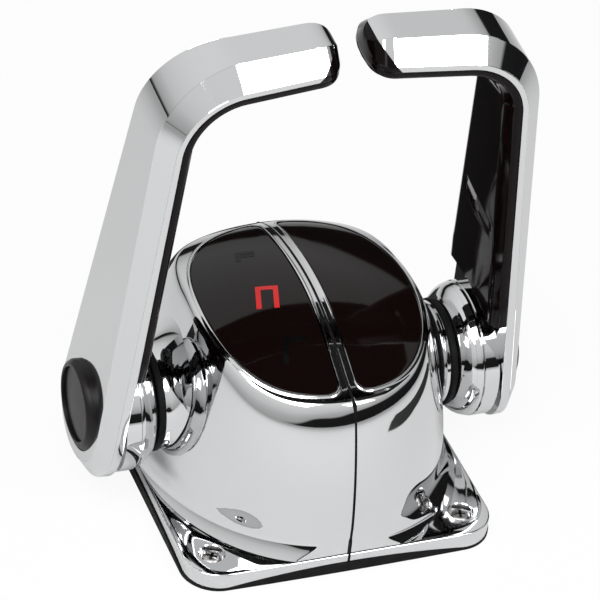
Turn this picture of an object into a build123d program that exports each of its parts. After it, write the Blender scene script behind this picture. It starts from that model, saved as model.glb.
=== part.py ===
from build123d import *
import os
from math import acos, atan, cos, degrees, pi, radians, sin, sqrt, tan

# Twin-lever engine control for a boat, surface-mounted on a console.
# A gasketed base carries a cast dome split down the middle.  Each half has a lever outside,
# a shaft through its wall and a gear train inside that turns a shift arm and a throttle arm.
# Frame: millimetres, X athwart, +Y forward, +Z up, origin at the base's centre on the console.
# Pieces of a pair are modelled on the right (+X) and mirrored to the left.

os.makedirs("parts", exist_ok=True)

# ---------------------------------------------------------------- driving dimensions
# Base flange and gasket
base_width = 148.0
base_length = 162.0
base_corner = 17.0
base_end_bow = 1.0
gasket_thickness = 1.8
gasket_lip = 0.6
gasket_ledge = 2.5
flange_top = 9.5
flange_edge = 0.8
arch_rise = 3.2

# Dome: plan half-sizes at the foot, fullness of the front and rear quarters, wall
dome_half_width = 68.3
dome_half_length = 80.0
front_fullness = 0.56
rear_fullness = 0.80
dome_shoulder = 15.0
dome_top = 108.0
dome_taper = 0.29
dome_taper_power = 1.8
flare_top = 22.0
flare_reach = 0.06
skirt_level = 8.0
flare_levels = (9.5, 12.5, 16.0, 22.0)
dome_levels = (34.0, 48.0, 62.0, 76.0, 92.0, 108.0)
cavity_levels = (-1.0, 15.0, 38.0, 60.0, 82.0, 108.0)
wall = 3.0
seam = 1.0

# Crown of the dome: its profile along the seam, turned about a low axis along Y
crown_axis_height = -30.0
crown_profile = [
    (-67, 84),
    (-56, 87.3),
    (-40, 94.5),
    (-15, 103),
    (0, 104.8),
    (31, 102.5),
    (57, 94.2),
    (85, 72),
]
crown_end = 96.0
rim_radius = 5.0

# Top panels
panel_half_width = 49.5
panel_half_length = 57.5
panel_centre = -2.0
panel_front_fullness = 0.62
panel_rear_fullness = 0.70
panel_inner_edge = 4.2
panel_corner = 5.0
panel_thickness = 2.0
panel_gap = 0.4
bead_width = 1.3
bead_height = 0.5

# Mounting screws in the corner pads
screw_spacing_x = 120.0
screw_spacing_y = 136.0
screw_shank_radius = 2.5
screw_head_radius = 4.5
screw_head_height = 3.2
head_shoulder_radius = 3.6
head_shoulder_height = 2.3
screw_seat = 5.2
screw_tip = 0.4
screw_hole_clearance = 0.3
head_clearance = 1.25
recess_arm = 5.2
recess_slot = 1.1
recess_depth = 1.5

# Hub axis, shaft and what it runs in
hub_y = 5.5
hub_z = 46.0
shaft_radius = 8.0
running_fit = 0.05
boss_root_radius = 24.0
boss_face_radius = 20.0
boss_root = 60.0
boss_face = 69.0
bushing_radius = 11.0
bushing_flange_radius = 13.5
bushing_flange = 1.6
seal_radius = 19.3
seal_thickness = 5.0
seal_edge = 1.0
hub_gap = 0.4
cone_outer_radius = 30.5
cone_rim = 1.2
cone_hollow = 0.8
hub_inner_face = 82.5
nut_seat = 90.0
nut_thickness = 4.5
nut_flats = 19.0
thread_radius = 6.0

# Lever: outer face, section and bend
hub_face = 99.0
hub_radius = 31.0
hub_step = 0.2
hub_overlap = 2.0
arm_lean_in = 3.8
grip_rise = 4.5
rest_lean = 5.5
arm_length = 197.5
bend_radius = 40.0
grip_tip = 6.0
nose_length = 18.0
nose_drop = 9.0
nose_angles = (0, 22, 44, 62, 74, 81)
# Section sizes at the hub, the start and end of the bend, and the grip's end
face_half = (23.0, 14.3, 8.6, 8.4)
flank_half = (31.0, 21.1, 18.2, 17.0)
flank_depth = (5.8, 7.5, 9.5, 9.5)
shell_depth = (10.2, 10.2, 12.2, 12.2)
trim_side = 3.6
trim_draft = 0.3
trim_bevel_depth = 3.2
trim_bevel = 6.0
trim_crown = 1.0
parting_top = 7.0
parting_foot = 14.5
shell_wall = 3.0
channel_slope = 0.9
channel_start = 52.0
trim_start = 20.0
trim_foot_radius = 39.5
trim_screw_height = 91.0
trim_screw_radius = 1.5
trim_screw_head = 2.7
trim_screw_sink = 2.2
trim_screw_rim = 1.1
trim_screw_crown = 1.8
trim_screw_boss = 4.0

# Neutral button and its bezel
bezel_radius = 20.5
bezel_lip_radius = 19.0
bezel_front = 106.5
bezel_floor = 95.0
bezel_floor_thickness = 3.2
bezel_wall = 2.6
bezel_taper = 2.0
bezel_edge = 0.8
button_radius = 16.4
button_thickness = 2.8
button_travel = 3.0
button_stop_gap = 0.3
button_gap = 0.3
button_edge = 0.5
stem_radius = 3.3
stem_gap = 0.1
stem_end = 78.0
stem_stop = 5.0

# Gear train
gear_module = 2.0
gear_teeth = 19
gear_backlash = 0.5
tooth_root = 1.25
gear_inner = 24.0
gear_width = 8.0
pressure_angle = 20.0
axle_radius = 4.0
arm_plane = 34.0
arm_thickness = 4.0
arm_reach = 20.0
arm_hub_radius = 8.0
arm_end_radius = 5.0
arm_hole_radius = 2.6
sleeve_radius = 7.0
drive_sleeve_radius = 11.0
side_gap = 0.3
clip_width = 1.2
clip_height = 2.6
clip_seat = 7.0
clip_groove = 1.0
clip_mouth = 6.0
shaft_inner = 0.8
axle_inner = 1.0

# Mechanism frame inside the dome
frame_floor = 9.0
frame_thickness = 3.0
frame_clearance = 1.0
web_half = 6.0
web_height = 66.0
upright_inner = 46.0
upright_thickness = 5.0
upright_foot_half = 44.5
upright_boss_radius = 14.0
axle_boss_radius = 6.5
window_radius = 9.0
post_radius = 4.0
front_post = (47.0, -47.0)
rear_post = (50.0, 56.0)
post_screw_radius = 1.7
post_screw_depth = 14.0
post_head_radius = 3.8
post_head_height = 2.4

# ---------------------------------------------------------------- derived places
arch_top = gasket_thickness + arch_rise
seal_face = boss_face + seal_thickness
cone_face = seal_face + hub_gap
gear_distance = gear_module * gear_teeth
shift_y = hub_y - gear_distance
throttle_y = hub_y + gear_distance
upright_outer = upright_inner + upright_thickness
hub_axis = Axis((0, hub_y, hub_z), (1, 0, 0))
hub_section = Plane((0, hub_y, hub_z))
post_places = [front_post, rear_post]


def write(piece, name):
    """Write a finished piece under the name of its node."""
    piece.part.label = name
    export_step(piece.part, f"parts/{name}.step")


def write_pair(right_piece, name):
    """Write a right-hand piece and its mirror image on the left."""
    with BuildPart() as left_piece:
        mirror(right_piece.part, about=Plane.YZ)
    write(right_piece, f"right_{name}")
    write(left_piece, f"left_{name}")


# ---------------------------------------------------------------- shared forms
def base_plan(inset=0.0):
    """Footprint of the base: straight sides, slightly bowed ends, round corners."""
    half_width = base_width / 2 - inset
    corner_y = base_length / 2 - base_end_bow - inset
    end_y = base_length / 2 - inset
    with BuildSketch() as plan:
        with BuildLine():
            Line((half_width, -corner_y), (half_width, corner_y))
            ThreePointArc((half_width, corner_y), (0, end_y), (-half_width, corner_y))
            Line((-half_width, corner_y), (-half_width, -corner_y))
            ThreePointArc((-half_width, -corner_y), (0, -end_y), (half_width, -corner_y))
        make_face()
        fillet(plan.vertices(), base_corner - inset)
    return plan.sketch


def oval(half_width, half_length, front_full, rear_full):
    """Closed outline of two front and two rear quarters that meet square on the axes."""
    with BuildSketch() as plan:
        with BuildLine():
            a, b = half_width, half_length
            Bezier((a, 0), (a, rear_full * b), (rear_full * a, b), (0, b))
            Bezier((0, b), (-rear_full * a, b), (-a, rear_full * b), (-a, 0))
            Bezier((-a, 0), (-a, -front_full * b), (-front_full * a, -b), (0, -b))
            Bezier((0, -b), (front_full * a, -b), (a, -front_full * b), (a, 0))
        make_face()
    return plan.sketch


def dome_scale(height):
    """Share of the foot's plan that the dome still has at a height."""
    rise = max(height - dome_shoulder, 0) / (dome_top - dome_shoulder)
    return 1 - dome_taper * rise**dome_taper_power


def dome_plan(height, inset=0.0, flared=False):
    """Plan section of the dome; near its foot the outside flares into the flange."""
    scale = dome_scale(height)
    if flared and height < flare_top:
        scale += flare_reach * ((flare_top - height) / (flare_top - flange_top)) ** 2
    half_width = dome_half_width * scale - inset
    half_length = dome_half_length * scale - inset
    plan = oval(half_width, half_length, front_fullness, rear_fullness)
    return plan.moved(Location((0, 0, height)))


def crown(inset=0.0):
    """Solid under the dome's crown, lowered by an inset."""
    with BuildPart() as under_crown:
        with BuildSketch(Plane.YZ):
            with BuildLine():
                points = [(y, z - inset) for y, z in crown_profile]
                Spline(*points)
                front, rear = points[0], points[-1]
                foot = crown_axis_height
                Polyline(
                    rear,
                    (crown_end, rear[1]),
                    (crown_end, foot),
                    (-crown_end, foot),
                    (-crown_end, front[1]),
                    front,
                )
            make_face()
        revolve(axis=Axis((0, 0, crown_axis_height), (0, 1, 0)))
    return under_crown.part


def arches():
    """Shallow arches under the flange's four sides, from corner to corner, filled by the gasket."""
    with BuildPart() as arch_fill:
        for plane, half_span in (
            (Plane.XZ, base_width / 2 - base_corner),
            (Plane.YZ, base_length / 2 - base_corner),
        ):
            with BuildSketch(plane):
                with BuildLine():
                    ThreePointArc(
                        (-half_span, gasket_thickness),
                        (0, arch_top),
                        (half_span, gasket_thickness),
                    )
                    Line((half_span, gasket_thickness), (-half_span, gasket_thickness))
                make_face()
            extrude(amount=base_length, both=True)
    return arch_fill.part


def panel_plan(grow=0.0):
    """Right-hand panel in plan, grown all round: half an oval with a straight edge along the seam."""
    length = panel_half_length + grow
    with BuildSketch() as plan:
        with Locations((0, panel_centre)):
            add(oval(panel_half_width + grow, length, panel_front_fullness, panel_rear_fullness))
        with Locations((panel_inner_edge - grow, panel_centre)):
            Rectangle(base_width, base_length, align=(Align.MIN, Align.CENTER), mode=Mode.INTERSECT)
        fillet(plan.vertices().group_by(Axis.X)[0], panel_corner + grow)
    return plan.sketch


# ---------------------------------------------------------------- dome halves
arch_fill = arches()


def dome_form(inset=0.0):
    """Outer form of the dome, flared at the foot, topped by the crown and cut to the base's footprint."""
    levels = (skirt_level, *flare_levels, *dome_levels)
    with BuildPart() as form:
        loft([dome_plan(height, inset, flared=True) for height in levels])
        add(crown(inset), mode=Mode.INTERSECT)
        with BuildSketch():
            add(base_plan(inset))
        extrude(amount=dome_top, mode=Mode.INTERSECT)
    return form.part


def panel_pocket(depth, grow):
    """Space under the crown's surface, inside a panel's outline, down to a depth."""
    with BuildPart() as pocket:
        with BuildSketch():
            add(panel_plan(grow))
        extrude(amount=dome_top)
        add(crown(depth), mode=Mode.SUBTRACT)
    return pocket.part


with BuildPart() as cavity:
    loft([dome_plan(height, inset=wall) for height in cavity_levels])
    add(crown(wall), mode=Mode.INTERSECT)
    post_foot = frame_floor + frame_thickness
    with Locations(*[(x * side, y, post_foot) for x, y in post_places for side in (1, -1)]):
        Cylinder(post_radius, dome_top, align=(Align.CENTER, Align.CENTER, Align.MIN), mode=Mode.SUBTRACT)

with BuildPart() as base_flange:
    with BuildSketch(Plane.XY.offset(gasket_thickness)):
        add(base_plan(gasket_lip))
    extrude(amount=flange_top - gasket_thickness)
    chamfer(base_flange.faces().sort_by(Axis.Z)[-1].edges(), flange_edge)

with BuildPart() as right_form:
    add(dome_form())
    split(bisect_by=Plane.YZ.offset(seam / 2), keep=Keep.TOP)
    off_seam = right_form.edges().filter_by(lambda edge: edge.length > base_width and edge.center().X > seam)
    fillet(off_seam.sort_by(Axis.Z)[-1], rim_radius)

with BuildPart() as panel_bead:
    add(panel_pocket(wall, bead_width + panel_gap))
    add(crown(-bead_height), mode=Mode.INTERSECT)

with BuildPart() as side_boss:
    with BuildSketch(hub_section):
        with BuildLine():
            Polyline(
                (boss_root - wall, 0),
                (boss_root - wall, boss_root_radius),
                (boss_root, boss_root_radius),
                (boss_face, boss_face_radius),
                (boss_face, 0),
                close=True,
            )
        make_face()
    revolve(axis=hub_axis)

with BuildPart() as right_housing:
    add(right_form.part)
    add(base_flange.part.split(Plane.YZ.offset(seam / 2), keep=Keep.TOP))
    add(side_boss.part)
    add(panel_bead.part)
    add(panel_pocket(panel_thickness, panel_gap), mode=Mode.SUBTRACT)
    add(cavity.part, mode=Mode.SUBTRACT)
    add(arch_fill, mode=Mode.SUBTRACT)
    with Locations(Location((boss_face, hub_y, hub_z), (0, 90, 0))):
        CounterBoreHole(bushing_radius, bushing_flange_radius, bushing_flange, boss_face - upright_outer)
    with Locations((screw_spacing_x / 2, 0, flare_top)), GridLocations(1, screw_spacing_y, 1, 2):
        CounterBoreHole(
            screw_shank_radius + screw_hole_clearance,
            screw_head_radius + head_clearance,
            flare_top - screw_seat,
            flare_top,
        )
    with Locations(*[Location((x, y, post_foot), (180, 0, 0)) for x, y in post_places]):
        Hole(post_screw_radius, post_screw_depth)
write_pair(right_housing, "housing")


# ---------------------------------------------------------------- seals, panels and base
with BuildPart() as centre_seal:
    add(dome_form(seam / 2))
    with BuildSketch(Plane.XY.offset(gasket_thickness)):
        add(base_plan(gasket_lip + seam / 2))
    extrude(amount=flange_top - gasket_thickness)
    add(cavity.part, mode=Mode.SUBTRACT)
    add(arch_fill, mode=Mode.SUBTRACT)
    split(bisect_by=Plane.YZ.offset(seam / 2), keep=Keep.BOTTOM)
    split(bisect_by=Plane.YZ.offset(-seam / 2), keep=Keep.TOP)
write(centre_seal, "centre_seal")

with BuildPart() as right_panel:
    with BuildSketch(Plane.XY.offset(hub_z)):
        add(panel_plan())
    extrude(amount=dome_top)
    add(crown(), mode=Mode.INTERSECT)
    add(crown(panel_thickness), mode=Mode.SUBTRACT)
write_pair(right_panel, "top_panel")

with BuildPart() as base_gasket:
    add(arch_fill)
    with BuildSketch():
        add(base_plan())
    extrude(amount=flange_top, mode=Mode.INTERSECT)
    with BuildSketch():
        add(base_plan())
    extrude(amount=gasket_thickness)
    with BuildSketch():
        add(dome_plan(0, inset=wall + gasket_ledge))
    extrude(amount=flange_top, mode=Mode.SUBTRACT)
    with GridLocations(screw_spacing_x, screw_spacing_y, 2, 2):
        Hole(screw_shank_radius + screw_hole_clearance, flange_top)
write(base_gasket, "base_gasket")

with BuildPart() as base_screw:
    with BuildSketch(Plane.XZ):
        with BuildLine():
            head_top = screw_seat + screw_head_height
            Polyline(
                (0, head_top),
                (0, screw_tip),
                (screw_shank_radius, screw_tip),
                (screw_shank_radius, screw_seat),
                (screw_head_radius, screw_seat),
            )
            ThreePointArc(
                (screw_head_radius, screw_seat),
                (head_shoulder_radius, screw_seat + head_shoulder_height),
                (0, head_top),
            )
        make_face()
    revolve(axis=Axis.Z)
    with BuildSketch(Plane.XY.offset(screw_seat + screw_head_height - recess_depth)):
        Rectangle(recess_arm, recess_slot)
        Rectangle(recess_slot, recess_arm)
    extrude(amount=screw_head_height, mode=Mode.SUBTRACT)
with BuildPart() as base_screws:
    with GridLocations(screw_spacing_x, screw_spacing_y, 2, 2):
        add(base_screw.part)
write(base_screws, "base_screws")


# ---------------------------------------------------------------- mechanism frame
with BuildPart() as mechanism_frame:
    with BuildSketch(Plane.XY.offset(frame_floor)):
        add(dome_plan(0, inset=wall + frame_clearance))
        with Locations((0, shift_y), (0, throttle_y)):
            SlotOverall(2 * upright_inner - 2 * window_radius, 2 * window_radius, mode=Mode.SUBTRACT)
    extrude(amount=frame_thickness)
    with BuildSketch(Plane.YZ):
        with Locations((hub_y, hub_z)):
            Circle(upright_boss_radius)
        with Locations((shift_y, hub_z), (throttle_y, hub_z)):
            Circle(axle_boss_radius)
        with Locations((hub_y, frame_floor + frame_thickness / 2)):
            Rectangle(2 * upright_foot_half, frame_thickness)
        make_hull()
    extrude(amount=web_half, both=True)
    with BuildSketch(Plane.YZ.offset(upright_inner), Plane.YZ.offset(-upright_outer)):
        with Locations((hub_y, hub_z)):
            Circle(upright_boss_radius)
        with Locations((shift_y, hub_z), (throttle_y, hub_z)):
            Circle(axle_boss_radius)
        with Locations((hub_y, frame_floor + frame_thickness / 2)):
            Rectangle(2 * upright_foot_half, frame_thickness)
        make_hull()
    extrude(amount=upright_thickness)
    with BuildSketch(Plane.YZ.offset(-upright_outer)):
        with Locations((hub_y, hub_z)):
            Circle(shaft_radius + running_fit)
        with Locations((shift_y, hub_z), (throttle_y, hub_z)):
            Circle(axle_radius)
    extrude(amount=2 * upright_outer, mode=Mode.SUBTRACT)
    post_holes = [Location((x * side, y, post_foot), (180, 0, 0)) for x, y in post_places for side in (1, -1)]
    with Locations(*post_holes):
        Hole(post_screw_radius + screw_hole_clearance, frame_thickness)
write(mechanism_frame, "mechanism_frame")

with BuildPart() as frame_screws:
    with Locations(*[(x * side, y, frame_floor) for x, y in post_places for side in (1, -1)]):
        Cylinder(post_head_radius, post_head_height, align=(Align.CENTER, Align.CENTER, Align.MAX))
        screw_length = frame_thickness + post_screw_depth - running_fit
        Cylinder(post_screw_radius, screw_length, align=(Align.CENTER, Align.CENTER, Align.MIN))
write(frame_screws, "frame_screws")

with BuildPart() as right_axles:
    with BuildSketch(Plane.YZ.offset(axle_inner)):
        with Locations((shift_y, hub_z), (throttle_y, hub_z)):
            Circle(axle_radius)
    extrude(amount=upright_outer - axle_inner)
write_pair(right_axles, "gear_axles")


# ---------------------------------------------------------------- hub: bushing, seal, cone, shaft
def ring(inner, outer, near, far):
    """Plain ring about the hub axis between two places on X."""
    with BuildPart() as body:
        with BuildSketch(Plane.YZ.offset(near)):
            with Locations((hub_y, hub_z)):
                Circle(outer)
                Circle(inner, mode=Mode.SUBTRACT)
        extrude(amount=far - near)
    return body.part


with BuildPart() as right_bushing:
    add(ring(shaft_radius + running_fit, bushing_radius, upright_outer + side_gap, boss_face))
    add(ring(shaft_radius + running_fit, bushing_flange_radius, boss_face - bushing_flange, boss_face))
write_pair(right_bushing, "shaft_bushing")

with BuildPart() as right_hub_seal:
    add(ring(shaft_radius + side_gap, seal_radius, boss_face, seal_face))
    fillet(right_hub_seal.edges().filter_by(GeomType.CIRCLE).sort_by(SortBy.RADIUS)[-2:], seal_edge)
write_pair(right_hub_seal, "hub_seal")

with BuildPart() as right_hub_cone:
    cone_middle = ((cone_face + hub_inner_face) / 2, (boss_face_radius + cone_outer_radius) / 2)
    with BuildSketch(hub_section):
        with BuildLine():
            Line((cone_face, shaft_radius + running_fit), (cone_face, boss_face_radius))
            ThreePointArc(
                (cone_face, boss_face_radius),
                (cone_middle[0] + cone_hollow, cone_middle[1] - cone_hollow),
                (hub_inner_face - cone_rim, cone_outer_radius),
            )
            Polyline(
                (hub_inner_face - cone_rim, cone_outer_radius),
                (hub_inner_face, cone_outer_radius),
                (hub_inner_face, shaft_radius + running_fit),
                (cone_face, shaft_radius + running_fit),
            )
        make_face()
    revolve(axis=hub_axis)
write_pair(right_hub_cone, "hub_cone")

with BuildPart() as right_lever_shaft:
    add(ring(stem_radius + stem_gap, shaft_radius, shaft_inner, nut_seat))
    add(ring(stem_radius + stem_gap, thread_radius, nut_seat, nut_seat + nut_thickness))
    with BuildSketch(Plane.YZ.offset(shaft_inner)):
        with Locations((hub_y, hub_z)):
            Circle(shaft_radius)
    extrude(amount=stem_end - stem_stop - shaft_inner)
    add(ring(shaft_radius - clip_groove, shaft_radius, clip_seat, clip_seat + clip_width), mode=Mode.SUBTRACT)
write_pair(right_lever_shaft, "lever_shaft")

with BuildPart() as right_shaft_clip:
    with BuildSketch(Plane.YZ.offset(clip_seat)):
        with Locations((hub_y, hub_z)):
            Circle(shaft_radius + clip_height)
            Circle(shaft_radius - clip_groove, mode=Mode.SUBTRACT)
            Rectangle(clip_mouth, 2 * shaft_radius, align=(Align.CENTER, Align.MAX), mode=Mode.SUBTRACT)
            with Locations((0, -shaft_radius)):
                Rectangle(clip_mouth, 2 * shaft_radius, mode=Mode.SUBTRACT)
    extrude(amount=clip_width)
write_pair(right_shaft_clip, "shaft_clip")

with BuildPart() as right_shaft_nut:
    with BuildSketch(Plane.YZ.offset(nut_seat)):
        with Locations((hub_y, hub_z)):
            RegularPolygon(nut_flats / 2, 6, major_radius=False)
            Circle(thread_radius, mode=Mode.SUBTRACT)
    extrude(amount=nut_thickness)
write_pair(right_shaft_nut, "shaft_nut")


# ---------------------------------------------------------------- gear train
def involute(angle):
    """Involute function of a pressure angle in radians."""
    return tan(angle) - angle


def gear_face(bore_radius):
    """Spur gear outline with one tooth centred on the local X axis."""
    pitch = gear_module * gear_teeth / 2
    base = pitch * cos(radians(pressure_angle))
    tip = pitch + gear_module
    root = pitch - tooth_root * gear_module
    half_pitch_tooth = (pi * gear_module - gear_backlash) / (4 * pitch)
    base_half = half_pitch_tooth + involute(radians(pressure_angle))
    tip_half = base_half - involute(acos(base / tip))
    flank = [(root, base_half), (pitch, half_pitch_tooth), (tip, tip_half)]
    outline = [(radius * cos(angle), radius * sin(angle)) for radius, angle in flank]
    mirrored = [(x, -y) for x, y in reversed(outline)]
    with BuildSketch() as face:
        Circle(root)
        with PolarLocations(0, gear_teeth):
            with BuildLine():
                Polyline((0, 0), *outline, *mirrored, close=True)
            make_face()
        Circle(bore_radius, mode=Mode.SUBTRACT)
    return face.sketch


def gear(axis_y, bore_radius, hub_sleeve, near, far):
    """Gear of the train on its axis, with a sleeve that runs from near to far."""
    with BuildPart() as body:
        with BuildSketch(Plane.YZ.offset(gear_inner)):
            with Locations((axis_y, hub_z)):
                add(gear_face(bore_radius))
        extrude(amount=gear_width)
        with BuildSketch(Plane.YZ.offset(near)):
            with Locations((axis_y, hub_z)):
                Circle(hub_sleeve)
                Circle(bore_radius, mode=Mode.SUBTRACT)
        extrude(amount=far - near)
    return body


def output_arm(axis_y):
    """Arm that pulls an engine cable, hanging from an output gear's axle."""
    with BuildPart() as body:
        with BuildSketch(Plane.YZ.offset(arm_plane)):
            with Locations((axis_y, hub_z)):
                Circle(arm_hub_radius)
            with Locations((axis_y, hub_z - arm_reach)):
                Circle(arm_end_radius)
            make_hull()
            with Locations((axis_y, hub_z)):
                Circle(axle_radius + running_fit, mode=Mode.SUBTRACT)
            with Locations((axis_y, hub_z - arm_reach)):
                Circle(arm_hole_radius, mode=Mode.SUBTRACT)
        extrude(amount=arm_thickness)
        arm_side = arm_plane + arm_thickness
        with BuildSketch(Plane.YZ.offset(arm_side)):
            with Locations((axis_y, hub_z)):
                Circle(sleeve_radius)
                Circle(axle_radius + running_fit, mode=Mode.SUBTRACT)
        extrude(amount=upright_inner - side_gap - arm_side)
    return body


sleeve_start = clip_seat + clip_width + side_gap
drive_bore = shaft_radius + running_fit
axle_bore = axle_radius + running_fit
write_pair(gear(hub_y, drive_bore, drive_sleeve_radius, sleeve_start, gear_inner), "drive_gear")
for output, axis_y in (("shift", shift_y), ("throttle", throttle_y)):
    write_pair(gear(axis_y, axle_bore, sleeve_radius, web_half + side_gap, arm_plane), f"{output}_gear")
    write_pair(output_arm(axis_y), f"{output}_arm")


# ---------------------------------------------------------------- levers
# A lever is drawn upright and then leaned to its neutral place.  Its path is the outer face:
# a straight arm from the hub, a bend, and a straight grip that reaches in over the dome.
turn = 90 - arm_lean_in - grip_rise
tangent = bend_radius * tan(radians(turn / 2))
bend_start = arm_length - tangent


def heading(angle):
    """Direction along the outer face that leans inward from the vertical by an angle."""
    return Vector(-sin(radians(angle)), 0, cos(radians(angle)))


def inward(angle):
    """Direction square to the outer face, into the lever."""
    return Vector(-cos(radians(angle)), 0, -sin(radians(angle)))


hub_point = Vector(hub_face, hub_y, hub_z)
bend_point = hub_point + heading(arm_lean_in) * bend_start
bend_centre = bend_point + inward(arm_lean_in) * bend_radius
grip_angle = arm_lean_in + turn
grip_point = bend_centre - inward(grip_angle) * bend_radius
nose_middle = shell_depth[-1] * sin(radians(grip_rise))
grip_length = (grip_point.X - grip_tip - nose_middle) / cos(radians(grip_rise))
nose_start = grip_length - nose_length


def on_arm(distance):
    """Section plane on the arm: local x into the lever, local y across it."""
    return Plane(hub_point + heading(arm_lean_in) * distance, inward(arm_lean_in), heading(arm_lean_in))


def on_bend(angle):
    """Section plane in the bend, after turning by an angle."""
    facing = arm_lean_in + angle
    return Plane(bend_centre - inward(facing) * bend_radius, inward(facing), heading(facing))


def on_grip(distance):
    """Section plane on the grip, from the end of the bend."""
    return Plane(grip_point + heading(grip_angle) * distance, inward(grip_angle), heading(grip_angle))


def blend(sizes, place):
    """Size at a place along the lever: 0 at the hub, 1 and 2 at the bend's ends, 3 at the nose."""
    step = min(int(place), len(sizes) - 2)
    return sizes[step] + (sizes[step + 1] - sizes[step]) * (place - step)


def shell_outline(place):
    """Upper half of the shell's section: flat face, flank facet, side band."""
    face, flank = blend(face_half, place), blend(flank_half, place)
    return [(0, face), (blend(flank_depth, place), flank), (blend(shell_depth, place), flank)]


def channel_outline(place):
    """Upper half of the channel inside the shell, open toward the trim."""
    face, flank = blend(face_half, place), blend(flank_half, place)
    return [
        (shell_wall, face - shell_wall),
        (blend(flank_depth, place), flank - shell_wall - channel_slope),
        (blend(shell_depth, place), flank - shell_wall),
    ]


def trim_outline(place):
    """Upper half of the trim's section: side, bevel and shallow crown."""
    flank, seat = blend(flank_half, place), blend(shell_depth, place)
    side, bevel = seat + trim_side, seat + trim_side + trim_bevel_depth
    return [(seat, flank), (side, flank - trim_draft), (bevel, flank - trim_bevel), (bevel + trim_crown, 0)]


def section_face(plane, half_outline):
    """Face of a section that is the same on both sides of the lever's middle."""
    other_half = [(x, -y) for x, y in reversed(half_outline) if y > 0]
    with BuildSketch(plane) as face:
        with BuildLine():
            Polyline(*half_outline, *other_half, close=True)
        make_face()
    return face.sketch


def along_lever(outline, start=0.0, end=nose_start):
    """Solid with the same kind of outline along the arm, the bend and the grip."""
    bend_steps = 6
    with BuildPart() as body:
        loft(
            [
                section_face(on_arm(start), outline(start / bend_start)),
                section_face(on_arm(bend_start), outline(1)),
            ],
            ruled=True,
        )
        loft(
            [
                section_face(on_bend(turn * step / bend_steps), outline(1 + step / bend_steps))
                for step in range(bend_steps + 1)
            ]
        )
        loft([section_face(on_grip(0), outline(2)), section_face(on_grip(end), outline(3))], ruled=True)
    return body.part


def nose_outline(share):
    """Whole section of the nose where a share of its rounding is used up."""
    shrink = sqrt(1 - share**2)
    depth = blend(shell_depth, 3) + trim_side + trim_bevel_depth + trim_crown
    drop = nose_drop * (1 - shrink)
    face, flank, seat = blend(face_half, 3), blend(flank_half, 3), blend(shell_depth, 3)
    return [
        (drop, face * shrink),
        (blend(flank_depth, 3), flank * shrink),
        (seat, flank * shrink),
        (seat + trim_side, (flank - trim_draft) * shrink),
        (depth - trim_crown - drop, (flank - trim_bevel) * shrink),
        (depth - drop, 0),
    ]


with BuildPart() as nose:
    shares = [sin(radians(angle)) for angle in nose_angles]
    loft([section_face(on_grip(nose_start + nose_length * share), nose_outline(share)) for share in shares])

parting_angle = degrees(atan((parting_foot - parting_top) / shell_depth[-1]))
parting_place = on_grip(grip_length - parting_top + grip_tip).origin
parting_plane = Plane(parting_place, z_dir=heading(grip_angle + parting_angle))
shell_floor = Plane(on_grip(0).origin + inward(grip_angle) * shell_depth[-1], z_dir=inward(grip_angle))

with BuildPart() as shell_nose:
    add(nose.part)
    split(bisect_by=shell_floor, keep=Keep.BOTTOM)
    split(bisect_by=parting_plane, keep=Keep.BOTTOM)

with BuildPart() as trim_nose:
    add(nose.part)
    add(shell_nose.part, mode=Mode.SUBTRACT)

trim_top = shell_depth[0] + trim_side + trim_bevel_depth + trim_crown


def trim_screw_plane(depth):
    """Plane square to the trim screw at a depth into the lever."""
    return Plane(on_arm(trim_screw_height).origin + inward(arm_lean_in) * depth, z_dir=inward(arm_lean_in))


with BuildPart() as channel:
    add(along_lever(channel_outline, channel_start, nose_start - shell_wall))
    with Locations(Location(trim_screw_plane(0))):
        Cylinder(trim_screw_boss, hub_face, align=(Align.CENTER, Align.CENTER, Align.MIN), mode=Mode.SUBTRACT)

with BuildPart() as hub_block:
    with BuildSketch(Plane(hub_point, x_dir=heading(arm_lean_in), z_dir=(0, -1, 0))):
        with BuildLine():
            Polyline(
                (0, 0),
                (face_half[0], 0),
                (flank_half[0], flank_depth[0]),
                (flank_half[0], shell_depth[0]),
                (0, shell_depth[0]),
                close=True,
            )
        make_face()
    revolve(axis=Axis(hub_point, inward(arm_lean_in)))
    add(ring(drive_bore, hub_radius - hub_step, hub_inner_face, nut_seat + hub_overlap))

with BuildPart() as upright_shell:
    add(along_lever(shell_outline))
    add(shell_nose.part)
    add(hub_block.part)
    add(channel.part, mode=Mode.SUBTRACT)
    with BuildSketch(Plane.YZ.offset(nut_seat)):
        with Locations((hub_y, hub_z)):
            Circle(bezel_radius + running_fit)
    extrude(amount=bezel_front, mode=Mode.SUBTRACT)
    with BuildSketch(Plane.YZ.offset(seal_face)):
        with Locations((hub_y, hub_z)):
            Circle(drive_bore)
    extrude(amount=bezel_front, mode=Mode.SUBTRACT)
    with Locations(Location(trim_screw_plane(shell_depth[0]))):
        Hole(trim_screw_radius, shell_depth[0] - shell_wall)

with BuildPart() as upright_trim:
    add(along_lever(trim_outline, trim_start))
    add(trim_nose.part)
    with BuildSketch(Plane.YZ):
        with Locations((hub_y, hub_z)):
            Circle(trim_foot_radius)
    extrude(amount=2 * hub_face, mode=Mode.SUBTRACT)
    with Locations(Location(trim_screw_plane(trim_top))):
        CounterBoreHole(trim_screw_radius + side_gap, trim_screw_head + side_gap, trim_screw_sink, trim_top)

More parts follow.
